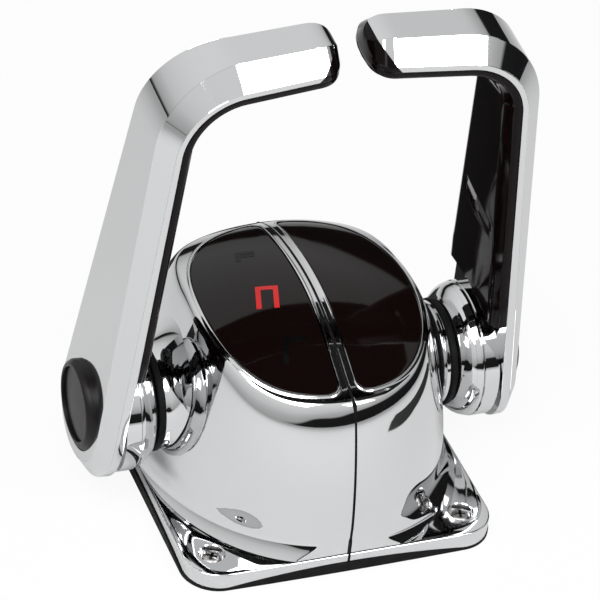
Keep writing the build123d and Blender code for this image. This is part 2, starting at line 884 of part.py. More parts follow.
with BuildPart() as upright_trim_screw:
    head_seat = trim_top - trim_screw_sink
    screw_origin = trim_screw_plane(0).origin
    with BuildSketch(Plane(screw_origin, x_dir=heading(arm_lean_in), z_dir=(0, -1, 0))):
        with BuildLine():
            Polyline(
                (0, shell_wall + side_gap),
                (trim_screw_radius, shell_wall + side_gap),
                (trim_screw_radius, head_seat),
                (trim_screw_head, head_seat),
                (trim_screw_head, head_seat + trim_screw_rim),
                (0, head_seat + trim_screw_crown),
                close=True,
            )
        make_face()
    revolve(axis=Axis(screw_origin, inward(arm_lean_in)))


def write_leaning(upright_piece, name):
    """Lean an upright lever piece to its neutral place and write both hands."""
    with BuildPart() as leaning:
        add(upright_piece.part.rotate(hub_axis, rest_lean))
    write_pair(leaning, name)


write_leaning(upright_shell, "lever_shell")
write_leaning(upright_trim, "lever_trim")
write_leaning(upright_trim_screw, "trim_screw")

# ---------------------------------------------------------------- neutral button
recess_floor = bezel_floor + bezel_floor_thickness
with BuildPart() as right_bezel:
    with BuildSketch(hub_section):
        with BuildLine():
            Polyline(
                (nut_seat, bezel_radius - bezel_wall),
                (nut_seat, bezel_radius),
                (hub_face - bezel_taper, bezel_radius),
                (bezel_front - bezel_edge, bezel_lip_radius),
                (bezel_front, bezel_lip_radius - bezel_edge),
                (bezel_front, button_radius + button_gap + bezel_edge / 2),
                (bezel_front - bezel_edge, button_radius + button_gap),
                (recess_floor, button_radius + button_gap),
                (recess_floor, stem_radius + button_gap),
                (bezel_floor, stem_radius + button_gap),
                (bezel_floor, bezel_radius - bezel_wall),
                close=True,
            )
        make_face()
    revolve(axis=hub_axis)
write_pair(right_bezel, "button_bezel")

button_back = recess_floor + button_travel + button_stop_gap
with BuildPart() as right_button:
    add(ring(stem_radius / 2, button_radius, button_back, button_back + button_thickness))
    with BuildSketch(Plane.YZ.offset(stem_end)):
        with Locations((hub_y, hub_z)):
            Circle(stem_radius)
    extrude(amount=button_back + button_thickness - stem_end)
    chamfer(right_button.edges().filter_by(GeomType.CIRCLE).sort_by(Axis.X)[-1], button_edge)
write_pair(right_button, "neutral_button")
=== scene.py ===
import logging
import math
from collections.abc import Callable
from dataclasses import dataclass
from enum import Enum

import bmesh
import bpy
import numpy as np
from mathutils import Matrix, Vector


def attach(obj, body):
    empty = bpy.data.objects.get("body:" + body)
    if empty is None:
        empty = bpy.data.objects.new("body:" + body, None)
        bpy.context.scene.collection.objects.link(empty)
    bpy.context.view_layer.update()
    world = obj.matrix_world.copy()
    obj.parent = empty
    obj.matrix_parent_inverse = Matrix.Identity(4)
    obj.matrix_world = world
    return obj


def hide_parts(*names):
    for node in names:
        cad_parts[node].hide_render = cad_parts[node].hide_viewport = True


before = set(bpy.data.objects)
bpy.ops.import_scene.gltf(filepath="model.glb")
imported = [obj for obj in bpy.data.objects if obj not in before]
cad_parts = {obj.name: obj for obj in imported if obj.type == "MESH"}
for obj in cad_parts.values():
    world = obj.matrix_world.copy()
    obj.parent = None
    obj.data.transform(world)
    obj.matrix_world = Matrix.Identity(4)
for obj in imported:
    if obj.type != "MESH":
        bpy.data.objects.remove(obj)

logging.basicConfig(level=logging.INFO, format="%(message)s")
log = logging.getLogger("engine_control")

MM = 0.001
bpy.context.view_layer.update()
Point = tuple[float, float, float]
Point2 = tuple[float, float]


class Side(Enum):
    """Hand of a piece: which way its X points."""

    LEFT = -1
    RIGHT = 1

    @property
    def word(self) -> str:
        """Name used in node names."""
        return self.name.lower()


# ------------------------------------------------------------------ finishes
def socket(group: bpy.types.NodeTree, name: str, way: str, kind: str, value: float | None = None) -> None:
    """Add a named socket to a node group.

    Args:
        group: the node group.
        name: the socket's name.
        way: "INPUT" or "OUTPUT".
        kind: Blender's socket type.
        value: default of an input.
    """
    made = group.interface.new_socket(name=name, in_out=way, socket_type=kind)
    if value is not None:
        made.default_value = value


@dataclass(frozen=True)
class SurfaceWear:
    """Shared shader group that turns object space into handling haze and fine hairline marks."""

    scale: float = 60.0
    smooth: float = 0.05
    worn: float = 0.12
    haze_detail: float = 4.0
    haze_range: tuple[float, float] = (0.35, 0.75)
    hairline_scale: float = 220.0
    hairline_detail: float = 2.0
    hairline_stretch: float = 14.0

    def build(self) -> bpy.types.NodeTree:
        """Build the group.

        Returns:
            A shader group with inputs Scale, Smooth and Worn, and outputs Roughness and Height.
        """
        group = bpy.data.node_groups.new("surface_wear", "ShaderNodeTree")
        for name, value in (("Scale", self.scale), ("Smooth", self.smooth), ("Worn", self.worn)):
            socket(group, name, "INPUT", "NodeSocketFloat", value)
        for name in ("Roughness", "Height"):
            socket(group, name, "OUTPUT", "NodeSocketFloat")
        make, link = group.nodes.new, group.links.new
        given, result, place = make("NodeGroupInput"), make("NodeGroupOutput"), make("ShaderNodeTexCoord")
        haze, hairline = make("ShaderNodeTexNoise"), make("ShaderNodeTexNoise")
        haze.inputs["Detail"].default_value = self.haze_detail
        hairline.inputs["Scale"].default_value = self.hairline_scale
        hairline.inputs["Detail"].default_value = self.hairline_detail
        stretch, spread = make("ShaderNodeMapping"), make("ShaderNodeMapRange")
        stretch.inputs["Scale"].default_value = (1.0, 1.0, self.hairline_stretch)
        spread.inputs["From Min"].default_value, spread.inputs["From Max"].default_value = self.haze_range
        link(place.outputs["Object"], haze.inputs["Vector"])
        link(place.outputs["Object"], stretch.inputs["Vector"])
        link(stretch.outputs["Vector"], hairline.inputs["Vector"])
        link(given.outputs["Scale"], haze.inputs["Scale"])
        link(haze.outputs["Fac"], spread.inputs["Value"])
        link(given.outputs["Smooth"], spread.inputs["To Min"])
        link(given.outputs["Worn"], spread.inputs["To Max"])
        link(spread.outputs["Result"], result.inputs["Roughness"])
        link(hairline.outputs["Fac"], result.inputs["Height"])
        return group


@dataclass(frozen=True)
class Finish:
    """A surface finish made of a Principled BSDF and the shared wear group."""

    name: str
    color: Point
    metallic: float
    smooth: float
    worn: float
    wear_scale: float = 60.0
    relief: float = 0.0
    relief_depth: float = 0.05
    specular: float = 0.5
    tint: float = 1.0

    def build(self, wear: bpy.types.NodeTree) -> bpy.types.Material:
        """Make the material.

        Args:
            wear: the shared wear group.

        Returns:
            The finished material.
        """
        material = bpy.data.materials.new(self.name)
        material.use_nodes = True
        nodes, links = material.node_tree.nodes, material.node_tree.links
        shader = nodes["Principled BSDF"]
        shader.inputs["Base Color"].default_value = (*self.color, 1.0)
        shader.inputs["Metallic"].default_value = self.metallic
        shader.inputs["Specular IOR Level"].default_value = self.specular
        shader.inputs["Specular Tint"].default_value = (self.tint, self.tint, self.tint, 1.0)
        marks = nodes.new("ShaderNodeGroup")
        marks.node_tree = wear
        marks.inputs["Scale"].default_value = self.wear_scale
        marks.inputs["Smooth"].default_value = self.smooth
        marks.inputs["Worn"].default_value = self.worn
        links.new(marks.outputs["Roughness"], shader.inputs["Roughness"])
        if self.relief > 0:
            bump = nodes.new("ShaderNodeBump")
            bump.inputs["Strength"].default_value = self.relief
            bump.inputs["Distance"].default_value = self.relief_depth * MM
            links.new(marks.outputs["Height"], bump.inputs["Height"])
            links.new(bump.outputs["Normal"], shader.inputs["Normal"])
        return material


class Surface(Enum):
    """Every finish on the control."""

    CHROME = Finish("polished_chrome", (0.66, 0.665, 0.672), 1.0, 0.025, 0.06, 45.0)
    PANEL = Finish("smoked_gloss_panel", (0.0050, 0.0024, 0.0020), 0.0, 0.05, 0.10, 90.0, specular=0.34, tint=0.85)
    TRIM = Finish("gloss_black_moulding", (0.0035, 0.0020, 0.0020), 0.0, 0.06, 0.12, 70.0, specular=0.35, tint=0.22)
    BEZEL = Finish("satin_black_moulding", (0.006, 0.0045, 0.0045), 0.0, 0.34, 0.46, 120.0, relief=0.3, specular=0.25)
    BUTTON = Finish("grey_gloss_cap", (0.006, 0.005, 0.005), 0.0, 0.16, 0.26, 90.0, specular=0.08, tint=0.6)
    RUBBER = Finish("black_rubber", (0.0042, 0.0040, 0.0040), 0.0, 0.55, 0.75, 150.0, relief=0.5, specular=0.15)
    STAINLESS = Finish("stainless_screw", (0.46, 0.45, 0.44), 1.0, 0.30, 0.40, 300.0, relief=0.15)
    STEEL = Finish("ground_steel", (0.52, 0.52, 0.53), 1.0, 0.24, 0.38, 200.0, relief=0.3)
    GEAR = Finish("machined_gear_steel", (0.42, 0.41, 0.40), 1.0, 0.30, 0.45, 240.0, relief=0.4)
    CAST = Finish("cast_aluminium", (0.55, 0.55, 0.56), 1.0, 0.42, 0.60, 180.0, relief=0.8)
    ACETAL = Finish("natural_acetal", (0.68, 0.65, 0.58), 0.0, 0.35, 0.50, 120.0)
    RED = Finish("red_marking", (0.62, 0.010, 0.012), 0.0, 0.30, 0.42, 120.0)
    # Near-black finish for the printed F and R marks, and painted shade on the walls of the deck screws' cross
    # recesses.
    SHADOW = Finish("dark_print_and_painted_shade", (0.0015, 0.0015, 0.0015), 0.0, 0.22, 0.30, 120.0, specular=0.25)


class Palette:
    """Built materials, one for each finish."""

    def __init__(self) -> None:
        """Build every finish on one shared wear group."""
        wear = SurfaceWear().build()
        self.materials = {surface: surface.value.build(wear) for surface in Surface}

    def dress(self, piece: bpy.types.Object, surface: Surface) -> None:
        """Give a whole piece one finish.

        Args:
            piece: the object to dress.
            surface: its finish.
        """
        piece.data.materials.clear()
        piece.data.materials.append(self.materials[surface])


# ------------------------------------------------------------------ mesh tools
def mesh_object(name: str, points: np.ndarray, faces: list[tuple[int, ...]]) -> bpy.types.Object:
    """Make an object from points in millimetres.

    Args:
        name: the object's name.
        points: an array of X, Y, Z rows.
        faces: corner indices of each face.

    Returns:
        The new object, linked to the scene.
    """
    mesh = bpy.data.meshes.new(name)
    mesh.from_pydata((points * MM).tolist(), [], faces)
    piece = bpy.data.objects.new(name, mesh)
    bpy.context.scene.collection.objects.link(piece)
    return piece


def grid_faces(rows: int, columns: int, wrap: bool) -> list[tuple[int, ...]]:
    """List the quads of a grid whose points run row by row.

    Args:
        rows: number of rows.
        columns: number of points in a row.
        wrap: whether the last column joins the first.

    Returns:
        Corner indices of each quad.
    """
    last = columns if wrap else columns - 1
    faces = []
    for row in range(rows - 1):
        for column in range(last):
            near, far = row * columns + column, row * columns + (column + 1) % columns
            faces.append((near, far, far + columns, near + columns))
    return faces


def finish_mesh(piece: bpy.types.Object, sharp_angle: float = 32.0, merge: float = 0.004) -> None:
    """Merge doubles, turn faces outwards, smooth them and keep real edges sharp.

    Args:
        piece: the object to finish.
        sharp_angle: smallest angle in degrees that stays a sharp edge.
        merge: distance in millimetres under which points are one.
    """
    body = bmesh.new()
    body.from_mesh(piece.data)
    bmesh.ops.remove_doubles(body, verts=body.verts, dist=merge * MM)
    bmesh.ops.dissolve_degenerate(body, edges=body.edges, dist=merge * MM)
    bmesh.ops.recalc_face_normals(body, faces=body.faces)
    for face in body.faces:
        face.smooth = True
    for edge in body.edges:
        edge.smooth = not (len(edge.link_faces) == 2 and edge.calc_face_angle(0.0) > math.radians(sharp_angle))
    body.to_mesh(piece.data)
    body.free()


def apply_modifiers(piece: bpy.types.Object) -> None:
    """Replace a piece's mesh by its evaluated mesh and remove its modifiers.

    Args:
        piece: the object whose modifiers are applied.
    """
    graph = bpy.context.evaluated_depsgraph_get()
    made = bpy.data.meshes.new_from_object(piece.evaluated_get(graph))
    piece.modifiers.clear()
    piece.data = made


def cut_away(piece: bpy.types.Object, cutter: bpy.types.Object) -> None:
    """Subtract one object from another and delete the cutter.

    Args:
        piece: the object that is cut.
        cutter: the shape taken away.
    """
    knife = piece.modifiers.new("cut", "BOOLEAN")
    knife.operation = "DIFFERENCE"
    knife.object = cutter
    apply_modifiers(piece)
    bpy.data.objects.remove(cutter)


def join(name: str, pieces: list[bpy.types.Object]) -> bpy.types.Object:
    """Join objects into one, keeping each face's finish.

    Args:
        name: name of the result.
        pieces: the objects to join, which are deleted.

    Returns:
        The joined object.
    """
    body = bmesh.new()
    materials: list[bpy.types.Material] = []
    for piece in pieces:
        start = len(body.faces)
        body.from_mesh(piece.data)
        body.faces.ensure_lookup_table()
        for face in body.faces[start:]:
            slot = piece.data.materials[face.material_index] if piece.data.materials else None
            if slot is not None and slot not in materials:
                materials.append(slot)
            face.material_index = materials.index(slot) if slot is not None else 0
    mesh = bpy.data.meshes.new(name)
    body.to_mesh(mesh)
    body.free()
    for material in materials:
        mesh.materials.append(material)
    for piece in pieces:
        bpy.data.objects.remove(piece)
    whole = bpy.data.objects.new(name, mesh)
    bpy.context.scene.collection.objects.link(whole)
    return whole


def set_hand(piece: bpy.types.Object, side: Side) -> None:
    """Mirror a mesh across X when it belongs on the left, since each is built on the right.

    Args:
        piece: the object, as built for the right.
        side: the hand it is for.
    """
    if side is Side.LEFT:
        piece.data.transform(Matrix.Scale(-1, 4, Vector((1, 0, 0))))
        piece.data.flip_normals()


def natural_spline(xs: tuple[float, ...], ys: tuple[float, ...]) -> Callable[[np.ndarray], np.ndarray]:
    """Fit a natural cubic through points.

    Args:
        xs: rising places.
        ys: values there.

    Returns:
        A function of an array of places.
    """
    x, y = np.array(xs, float), np.array(ys, float)
    gap = np.diff(x)
    count = len(x)
    left, right = np.eye(count), np.zeros(count)
    for i in range(1, count - 1):
        left[i, i - 1 : i + 2] = gap[i - 1], 2 * (gap[i - 1] + gap[i]), gap[i]
        right[i] = 6 * ((y[i + 1] - y[i]) / gap[i] - (y[i] - y[i - 1]) / gap[i - 1])
    bend = np.linalg.solve(left, right)

    def value(place: np.ndarray) -> np.ndarray:
        """Evaluate the spline, level beyond its ends.

        Args:
            place: where to evaluate it.

        Returns:
            The value at each place.
        """
        p = np.clip(place, x[0], x[-1])
        i = np.clip(np.searchsorted(x, p) - 1, 0, count - 2)
        a, b = (x[i + 1] - p), (p - x[i])
        return (
            (bend[i] * a**3 + bend[i + 1] * b**3) / (6 * gap[i])
            + (y[i] / gap[i] - bend[i] * gap[i] / 6) * a
            + (y[i + 1] / gap[i] - bend[i + 1] * gap[i] / 6) * b
        )

    return value


# ------------------------------------------------------------------ dome
@dataclass
class DomeShape:
    """The dome's outer form in millimetres, the same as the CAD frame's."""

    base_width: float = 148.0
    base_length: float = 162.0
    base_corner: float = 17.0
    lip: float = 0.6
    gasket: float = 1.8
    flange_top: float = 9.5
    flange_edge: float = 0.8
    arch_rise: float = 3.2
    half_width: float = 68.3
    half_length: float = 80.0
    front_fullness: float = 0.56
    rear_fullness: float = 0.80
    shoulder: float = 15.0
    top: float = 108.0
    taper: float = 0.29
    taper_power: float = 1.8
    flare_top: float = 22.0
    flare_reach: float = 0.06
    seam: float = 1.0
    crown_axis: float = -30.0
    crown_ys: tuple[float, ...] = (-67, -56, -40, -15, 0, 31, 57, 85)
    crown_zs: tuple[float, ...] = (84, 87.3, 94.5, 103, 104.8, 102.5, 94.2, 72)

    def __post_init__(self) -> None:
        """Fit the crown's profile."""
        self.profile = natural_spline(self.crown_ys, self.crown_zs)

    def crown(self, x: np.ndarray, y: np.ndarray) -> np.ndarray:
        """Height of the crown over a plan place."""
        radius = self.profile(y) - self.crown_axis
        return self.crown_axis + np.sqrt(np.maximum(radius**2 - np.asarray(x) ** 2, 1.0))

    def scale(self, height: np.ndarray) -> np.ndarray:
        """Share of the foot's plan at a height, with the flare into the flange.

        Args:
            height: heights above the deck.

        Returns:
            The share at each height, above 1 in the flare.
        """
        rise = np.maximum(height - self.shoulder, 0) / (self.top - self.shoulder)
        flare = np.maximum(self.flare_top - height, 0) / (self.flare_top - self.flange_top)
        return 1 - self.taper * rise**self.taper_power + self.flare_reach * flare**2

    def plan(self, t: np.ndarray) -> np.ndarray:
        """Plan of the foot's right half, from the front seam at -1 to the rear seam at 1.

        Args:
            t: places along the half, from -1 to 1.

        Returns:
            An X, Y row for each place.
        """
        s = np.abs(t)
        full = np.where(t < 0, self.front_fullness, self.rear_fullness)
        x = (1 - s) ** 3 + 3 * (1 - s) ** 2 * s + 3 * (1 - s) * s**2 * full
        y = 3 * (1 - s) ** 2 * s * full + 3 * (1 - s) * s**2 + s**3
        return np.stack([x * self.half_width, np.sign(t) * y * self.half_length], axis=1)

    def base_reach(self, direction: np.ndarray, inset: float) -> np.ndarray:
        """Distance from the centre to the base's rounded outline along unit plan directions.

        Args:
            direction: rows of unit X, Y.
            inset: how far the outline is drawn in.

        Returns:
            The distance for each row.
        """
        half_x, half_y = self.base_width / 2 - inset, self.base_length / 2 - inset
        corner = self.base_corner - inset
        d = np.abs(direction)
        straight = np.minimum(half_x / np.maximum(d[:, 0], 1e-9), half_y / np.maximum(d[:, 1], 1e-9))
        cx, cy = half_x - corner, half_y - corner
        along = d[:, 0] * cx + d[:, 1] * cy
        root = along**2 - (cx**2 + cy**2 - corner**2)
        round_hit = along + np.sqrt(np.maximum(root, 0))
        hit = d * straight[:, None]
        in_corner = (hit[:, 0] > cx) & (hit[:, 1] > cy)
        return np.where(in_corner, round_hit, straight)

    def underside(self, x: np.ndarray, y: np.ndarray) -> np.ndarray:
        """Height of the metal's lower edge, arched along each side.

        Args:
            x: X of each place.
            y: Y of each place.

        Returns:
            The height at each place.
        """
        span_x = self.base_width / 2 - self.base_corner
        span_y = self.base_length / 2 - self.base_corner
        lift = np.maximum(1 - (x / span_x) ** 2, 1 - (y / span_y) ** 2)
        return self.gasket + self.arch_rise * np.clip(lift, 0, 1)


@dataclass
class PanelShape:
    """Outline of the right-hand top panel in millimetres."""

    half_width: float = 49.5
    half_length: float = 57.5
    centre: float = -2.0
    front_fullness: float = 0.62
    rear_fullness: float = 0.70
    inner_edge: float = 4.2
    corner: float = 5.0
    gap: float = 0.4
    pivot: tuple[float, float] = (24.0, -2.0)

    def outline(self, grow: float) -> np.ndarray:
        """Trace the outline, grown all round.

        Args:
            grow: how far the outline is moved outwards.

        Returns:
            Dense plan points, counter-clockwise.
        """
        a, b = self.half_width + grow, self.half_length + grow
        edge, corner = self.inner_edge - grow, self.corner + grow
        t = np.linspace(-1, 1, 1201)
        s, full = np.abs(t), np.where(t < 0, self.front_fullness, self.rear_fullness)
        x = ((1 - s) ** 3 + 3 * (1 - s) ** 2 * s + 3 * (1 - s) * s**2 * full) * a
        y = np.sign(t) * (3 * (1 - s) ** 2 * s * full + 3 * (1 - s) * s**2 + s**3) * b + self.centre
        slope = np.stack([np.gradient(x), np.gradient(y)], axis=1)
        slope /= np.maximum(np.hypot(*slope.T), 1e-12)[:, None]
        normal = np.stack([slope[:, 1], -slope[:, 0]], axis=1)
        arc = np.stack([x, y], axis=1)
        inside = np.nonzero((arc - corner * normal)[:, 0] >= edge + corner)[0]
        first, last = inside[0], inside[-1]
        rings = [arc[first : last + 1]]
        for index, flat in ((last, math.pi), (first, -math.pi)):
            middle = arc[index] - corner * normal[index]
            start = math.atan2(normal[index][1], normal[index][0])
            turn = np.linspace(start, flat, 14)[1:]
            bend = np.stack([middle[0] + corner * np.cos(turn), middle[1] + corner * np.sin(turn)], axis=1)
            rings.append(bend if index == last else bend[::-1])
        seam_edge = np.linspace(rings[1][-1], rings[2][0], 200)[1:-1]
        return np.concatenate([rings[0], rings[1], seam_edge, rings[2]])

    def reach(self, angles: np.ndarray, grow: float) -> np.ndarray:
        """Distance from the pivot to the grown outline at plan angles.

        Args:
            angles: directions from the pivot, in radians.
            grow: how far the outline is moved outwards.

        Returns:
            The distance in each direction.
        """
        ring = self.outline(grow) - np.array(self.pivot)
        facing = np.arctan2(ring[:, 1], ring[:, 0])
        order = np.argsort(facing)
        facing, length = facing[order], np.hypot(ring[:, 0], ring[:, 1])[order]
        facing = np.concatenate([facing - 2 * math.pi, facing, facing + 2 * math.pi])
        return np.interp(angles, facing, np.tile(length, 3))


@dataclass
class DomeHalf:
    """One half of the cast dome with its panel recess, bead, flange and screw seats."""

    side: Side
    shape: DomeShape
    panel: PanelShape
    bead_width: float = 1.3
    bead_height: float = 0.55
    bead_foot: float = 0.45
    bead_fall: tuple[Point2, ...] = ((0.75, 0.82), (0.95, 0.4), (1.2, 0.08), (1.5, 0.0))
    recess: float = 1.8
    recess_shares: tuple[float, ...] = (0.0, 0.25, 0.5, 0.75, 0.92)
    wall: float = 2.4
    web_share: float = 0.8
    web_reach: float = 20.0
    seam_round: float = 0.5
    seam_least: float = 0.8
    rim_run: float = 3.5
    rim_drop: float = 9.5
    rim_between: Point2 = (60.0, 107.0)
    rim_halvings: int = 40
    rim_columns: int = 190
    rim_crowding: float = 0.85
    seam_columns: int = 60
    crown_steps: int = 14
    rim_steps: int = 8
    wall_steps: int = 25
    flare_steps: int = 14
    flare_ease: float = 0.8
    flange_shares: tuple[float, ...] = (0.25, 0.5, 0.75, 1.0)
    flange_turns: tuple[float, ...] = (30, 60, 90)
    side_shares: tuple[float, ...] = (0.5, 1.0)
    under_shares: tuple[float, ...] = (0.92, 0.8, 0.6, 0.4, 0.2, 0.0)
    edge_least: float = 0.05
    ring_least: float = 0.02
    screw_x: float = 60.0
    screw_y: float = 65.0
    seat_radius: float = 5.75
    seat_height: float = 5.2
    seat_chamfer: float = 0.4
    seat_top: float = 24.0
    boss_root: float = 57.0
    boss_face: float = 69.0
    boss_bore: float = 8.0
    boss_flare: float = 12.0
    boss_flare_power: float = 1.7
    boss_radius: float = 24.6
    boss_edge: float = 0.8
    boss_edge_middle: Point2 = (0.2, 0.25)
    hub_y: float = 5.5
    hub_z: float = 46.0

    def rim_height(self, plan: np.ndarray) -> np.ndarray:
        """Height where the wall meets the crown for each plan column, found by halving.

        Args:
            plan: the columns' places in the foot's plan.

        Returns:
            The height of each column's rim.
        """
        low, high = (np.full(len(plan), level) for level in self.rim_between)
        for _ in range(self.rim_halvings):
            middle = (low + high) / 2
            place = plan * self.shape.scale(middle)[:, None]
            over = self.shape.crown(place[:, 0], place[:, 1]) > middle
            low, high = np.where(over, middle, low), np.where(over, high, middle)
        return low

    def boundary(self) -> tuple[np.ndarray, np.ndarray, np.ndarray]:
        """Closed run of columns round the half's crown.

        Returns:
            Plan points on the outer edge, plan of each rim column, and a mask of rim columns.
        """
        s = self.shape
        t = -np.cos(np.linspace(0, math.pi, self.rim_columns))
        t = np.sign(t) * np.abs(t) ** self.rim_crowding
        plan = s.plan(t)
        plan[:, 0] = np.maximum(plan[:, 0], s.seam / 2 / self.seam_least)
        height = self.rim_height(plan)
        rim = plan * s.scale(height)[:, None]
        rim[:, 0] = np.maximum(rim[:, 0], s.seam / 2)
        ys = np.linspace(rim[-1, 1], rim[0, 1], self.seam_columns + 2)[1:-1]
        seam = np.stack([np.full(len(ys), s.seam / 2), ys], axis=1)
        outer = np.concatenate([rim, seam])
        mask = np.arange(len(outer)) < len(rim)
        return outer, plan, mask

    def crown_rows(self, outer: np.ndarray) -> list[np.ndarray]:
        """Rows from the panel's recess, over the bead, to the crown's edge.

        Args:
            outer: plan places of the crown's edge, one for each column.

        Returns:
            Rows of points, from the recess outwards.
        """
        s, pivot = self.shape, np.array(self.panel.pivot)
        facing = np.arctan2(outer[:, 1] - pivot[1], outer[:, 0] - pivot[0])
        heading = np.stack([np.cos(facing), np.sin(facing)], axis=1)
        inner = self.panel.reach(facing, self.panel.gap)
        edge = np.hypot(*(outer - pivot).T)
        width, tall = self.bead_width, self.bead_height
        foot = self.bead_foot
        profile = [(0.0, -self.recess), (0.0, tall * foot)]
        profile += [
            (width * (1 - math.cos(a)) / 2, tall * (foot + (1 - foot) * math.sin(a)))
            for a in np.linspace(0, math.pi / 2, 5)[1:]
        ]
        profile += [(width * out, tall * lift) for out, lift in self.bead_fall]
        rows = []
        for out, lift in profile:
            plan = pivot + heading * np.minimum(inner + out, edge - self.edge_least)[:, None]
            rows.append(self.on_crown(plan, lift))
        start = np.minimum(inner + profile[-1][0], edge - self.edge_least)
        stop = np.maximum(edge - self.edge_run(len(edge)), start + self.ring_least)
        for share in np.linspace(0, 1, self.crown_steps + 1)[1:]:
            rows.append(self.on_crown(pivot + heading * (start + (stop - start) * share)[:, None], 0.0))
        return rows

    def edge_run(self, count: int) -> np.ndarray:
        """How far before the crown's edge the rounding starts, for each column.

        Args:
            count: number of columns, those of the rim first.

        Returns:
            The distance for each column.
        """
        run = np.full(count, self.seam_round)
        run[: self.rim_columns] = self.rim_run
        return run

    def on_crown(self, plan: np.ndarray, lift: float) -> np.ndarray:
        """Points over plan places, lifted off the crown."""
        return np.column_stack([plan, self.shape.crown(plan[:, 0], plan[:, 1]) + lift])

    def wall_rows(self, plan: np.ndarray, crown_edge: np.ndarray) -> list[np.ndarray]:
        """Rows of the rim's rounding, the wall, the flare and the flange for the rim columns.

        Args:
            plan: the columns' places in the foot's plan.
            crown_edge: the crown's last row at those columns.

        Returns:
            Rows of points, from the rim down to the underside.
        """
        s = self.shape
        height = self.rim_height(plan)
        corner = self.wall_point(plan, height)
        below = self.wall_point(plan, height - self.rim_drop)
        rows = []
        for share in np.linspace(0, 1, self.rim_steps + 1)[1:]:
            rows.append((1 - share) ** 2 * crown_edge + 2 * share * (1 - share) * corner + share**2 * below)
        top = height - self.rim_drop
        for share in np.linspace(0, 1, self.wall_steps + 1)[1:]:
            rows.append(self.wall_point(plan, top + (s.flare_top - top) * share))
        for share in np.linspace(0, 1, self.flare_steps + 1)[1:]:
            level = s.flare_top + (s.flange_top - s.flare_top) * share**self.flare_ease
            rows.append(self.wall_point(plan, np.full(len(plan), level)))
        foot = rows[-1]
        unit = plan / np.hypot(*plan.T)[:, None]
        for share in self.flange_shares:
            reach = s.base_reach(unit, s.lip + s.flange_edge)
            edge = np.column_stack([unit * reach[:, None], np.full(len(plan), s.flange_top)])
            rows.append(foot + (edge - foot) * share)
        for angle in self.flange_turns:
            inset = s.lip + s.flange_edge * (1 - math.sin(math.radians(angle)))
            drop = s.flange_edge * (1 - math.cos(math.radians(angle)))
            reach = s.base_reach(unit, inset)
            rows.append(np.column_stack([unit * reach[:, None], np.full(len(plan), s.flange_top - drop)]))
        rim = rows[-1]
        low = s.underside(rim[:, 0], rim[:, 1])
        for share in self.side_shares:
            row = rim.copy()
            row[:, 2] = rim[:, 2] + (low - rim[:, 2]) * share
            rows.append(row)
        return rows

    def wall_point(self, plan: np.ndarray, height: np.ndarray) -> np.ndarray:
        """Points of the wall at heights, never past the base's edge.

        Args:
            plan: the columns' places in the foot's plan.
            height: the height at each column.

        Returns:
            A point for each column.
        """
        s = self.shape
        length = np.hypot(*plan.T)
        unit = plan / length[:, None]
        limit = s.base_reach(unit, s.lip + s.flange_edge)
        reach = np.minimum(length * s.scale(height), limit)
        return np.column_stack([unit * reach[:, None], height])

    def seam_rows(self, top: np.ndarray, wall: list[np.ndarray]) -> list[np.ndarray]:
        """Rows of the flat seam face that go with the wall's rows.

        Args:
            top: the crown's last row along the seam, from the rear to the front.
            wall: the wall's rows, each from the front seam to the rear seam.

        Returns:
            A row of seam points for each wall row.
        """
        share_along = np.linspace(0, 1, self.seam_columns + 2)[1:-1]
        rounding, turned_down = wall[: self.rim_steps], wall[self.rim_steps - 1]
        rear = np.array([row[-1, 1:] for row in rounding])
        front = np.array([row[0, 1:] for row in rounding[::-1]])
        cap = np.minimum(
            np.interp(top[:, 1], rear[:, 0], rear[:, 1], left=np.inf),
            np.interp(top[:, 1], front[:, 0], front[:, 1], right=np.inf),
        )
        turned_in = top[:, 2] - np.minimum(top[:, 2] - self.seam_round, cap)
        ends = turned_down[[-1, 0], 2]
        rows = []
        for index, row in enumerate(wall):
            turned = min((index + 1) / self.rim_steps, 1.0)
            spread = (row[[-1, 0], 1] - turned_down[[-1, 0], 1]) * (index >= self.rim_steps)
            y = top[:, 1] + spread[0] + (spread[1] - spread[0]) * share_along
            low = self.shape.underside(np.zeros_like(y), y)
            used = np.zeros_like(y)
            if index >= self.rim_steps:
                gone = (ends - row[[-1, 0], 2]) / (ends - wall[-1][[-1, 0], 2])
                used = np.clip(gone[0] + (gone[1] - gone[0]) * share_along, 0, 1)
            x = self.shape.seam / 2 + self.seam_round * (1 - turned) ** 2
            high = top[:, 2] - turned_in * turned**2
            rows.append(np.column_stack([np.full_like(y, x), y, high - (high - low) * used]))
        return rows

    def skin(self) -> bpy.types.Object:
        """Closed outer form: pocket floor, crown, wall, flange, seam face and underside.

        Returns:
            The form, solid inside.
        """
        outer, plan, rim_mask = self.boundary()
        rows = self.crown_rows(outer)
        facing = np.arctan2(outer[:, 1] - self.panel.pivot[1], outer[:, 0] - self.panel.pivot[0])
        heading = np.stack([np.cos(facing), np.sin(facing)], axis=1)
        pivot = np.array(self.panel.pivot)
        inner = self.panel.reach(facing, self.panel.gap)
        floor = [
            self.on_crown(pivot + heading * (inner * share)[:, None], -self.recess)
            for share in self.recess_shares
        ]
        wall = self.wall_rows(plan, rows[-1][rim_mask])
        side = self.seam_rows(rows[-1][~rim_mask], wall)
        rows = floor + rows + [np.concatenate([near, flat]) for near, flat in zip(wall, side)]
        edge = rows[-1]
        for share in self.under_shares:
            under = pivot + (edge[:, :2] - pivot) * share
            rows.append(np.column_stack([under, self.shape.underside(under[:, 0], under[:, 1])]))
        points = np.concatenate(rows)
        points[:, 0] = np.maximum(points[:, 0], self.shape.seam / 2)
        piece = mesh_object("dome_skin", points, grid_faces(len(rows), len(outer), True))
        finish_mesh(piece, sharp_angle=40.0, merge=0.001)
        return piece

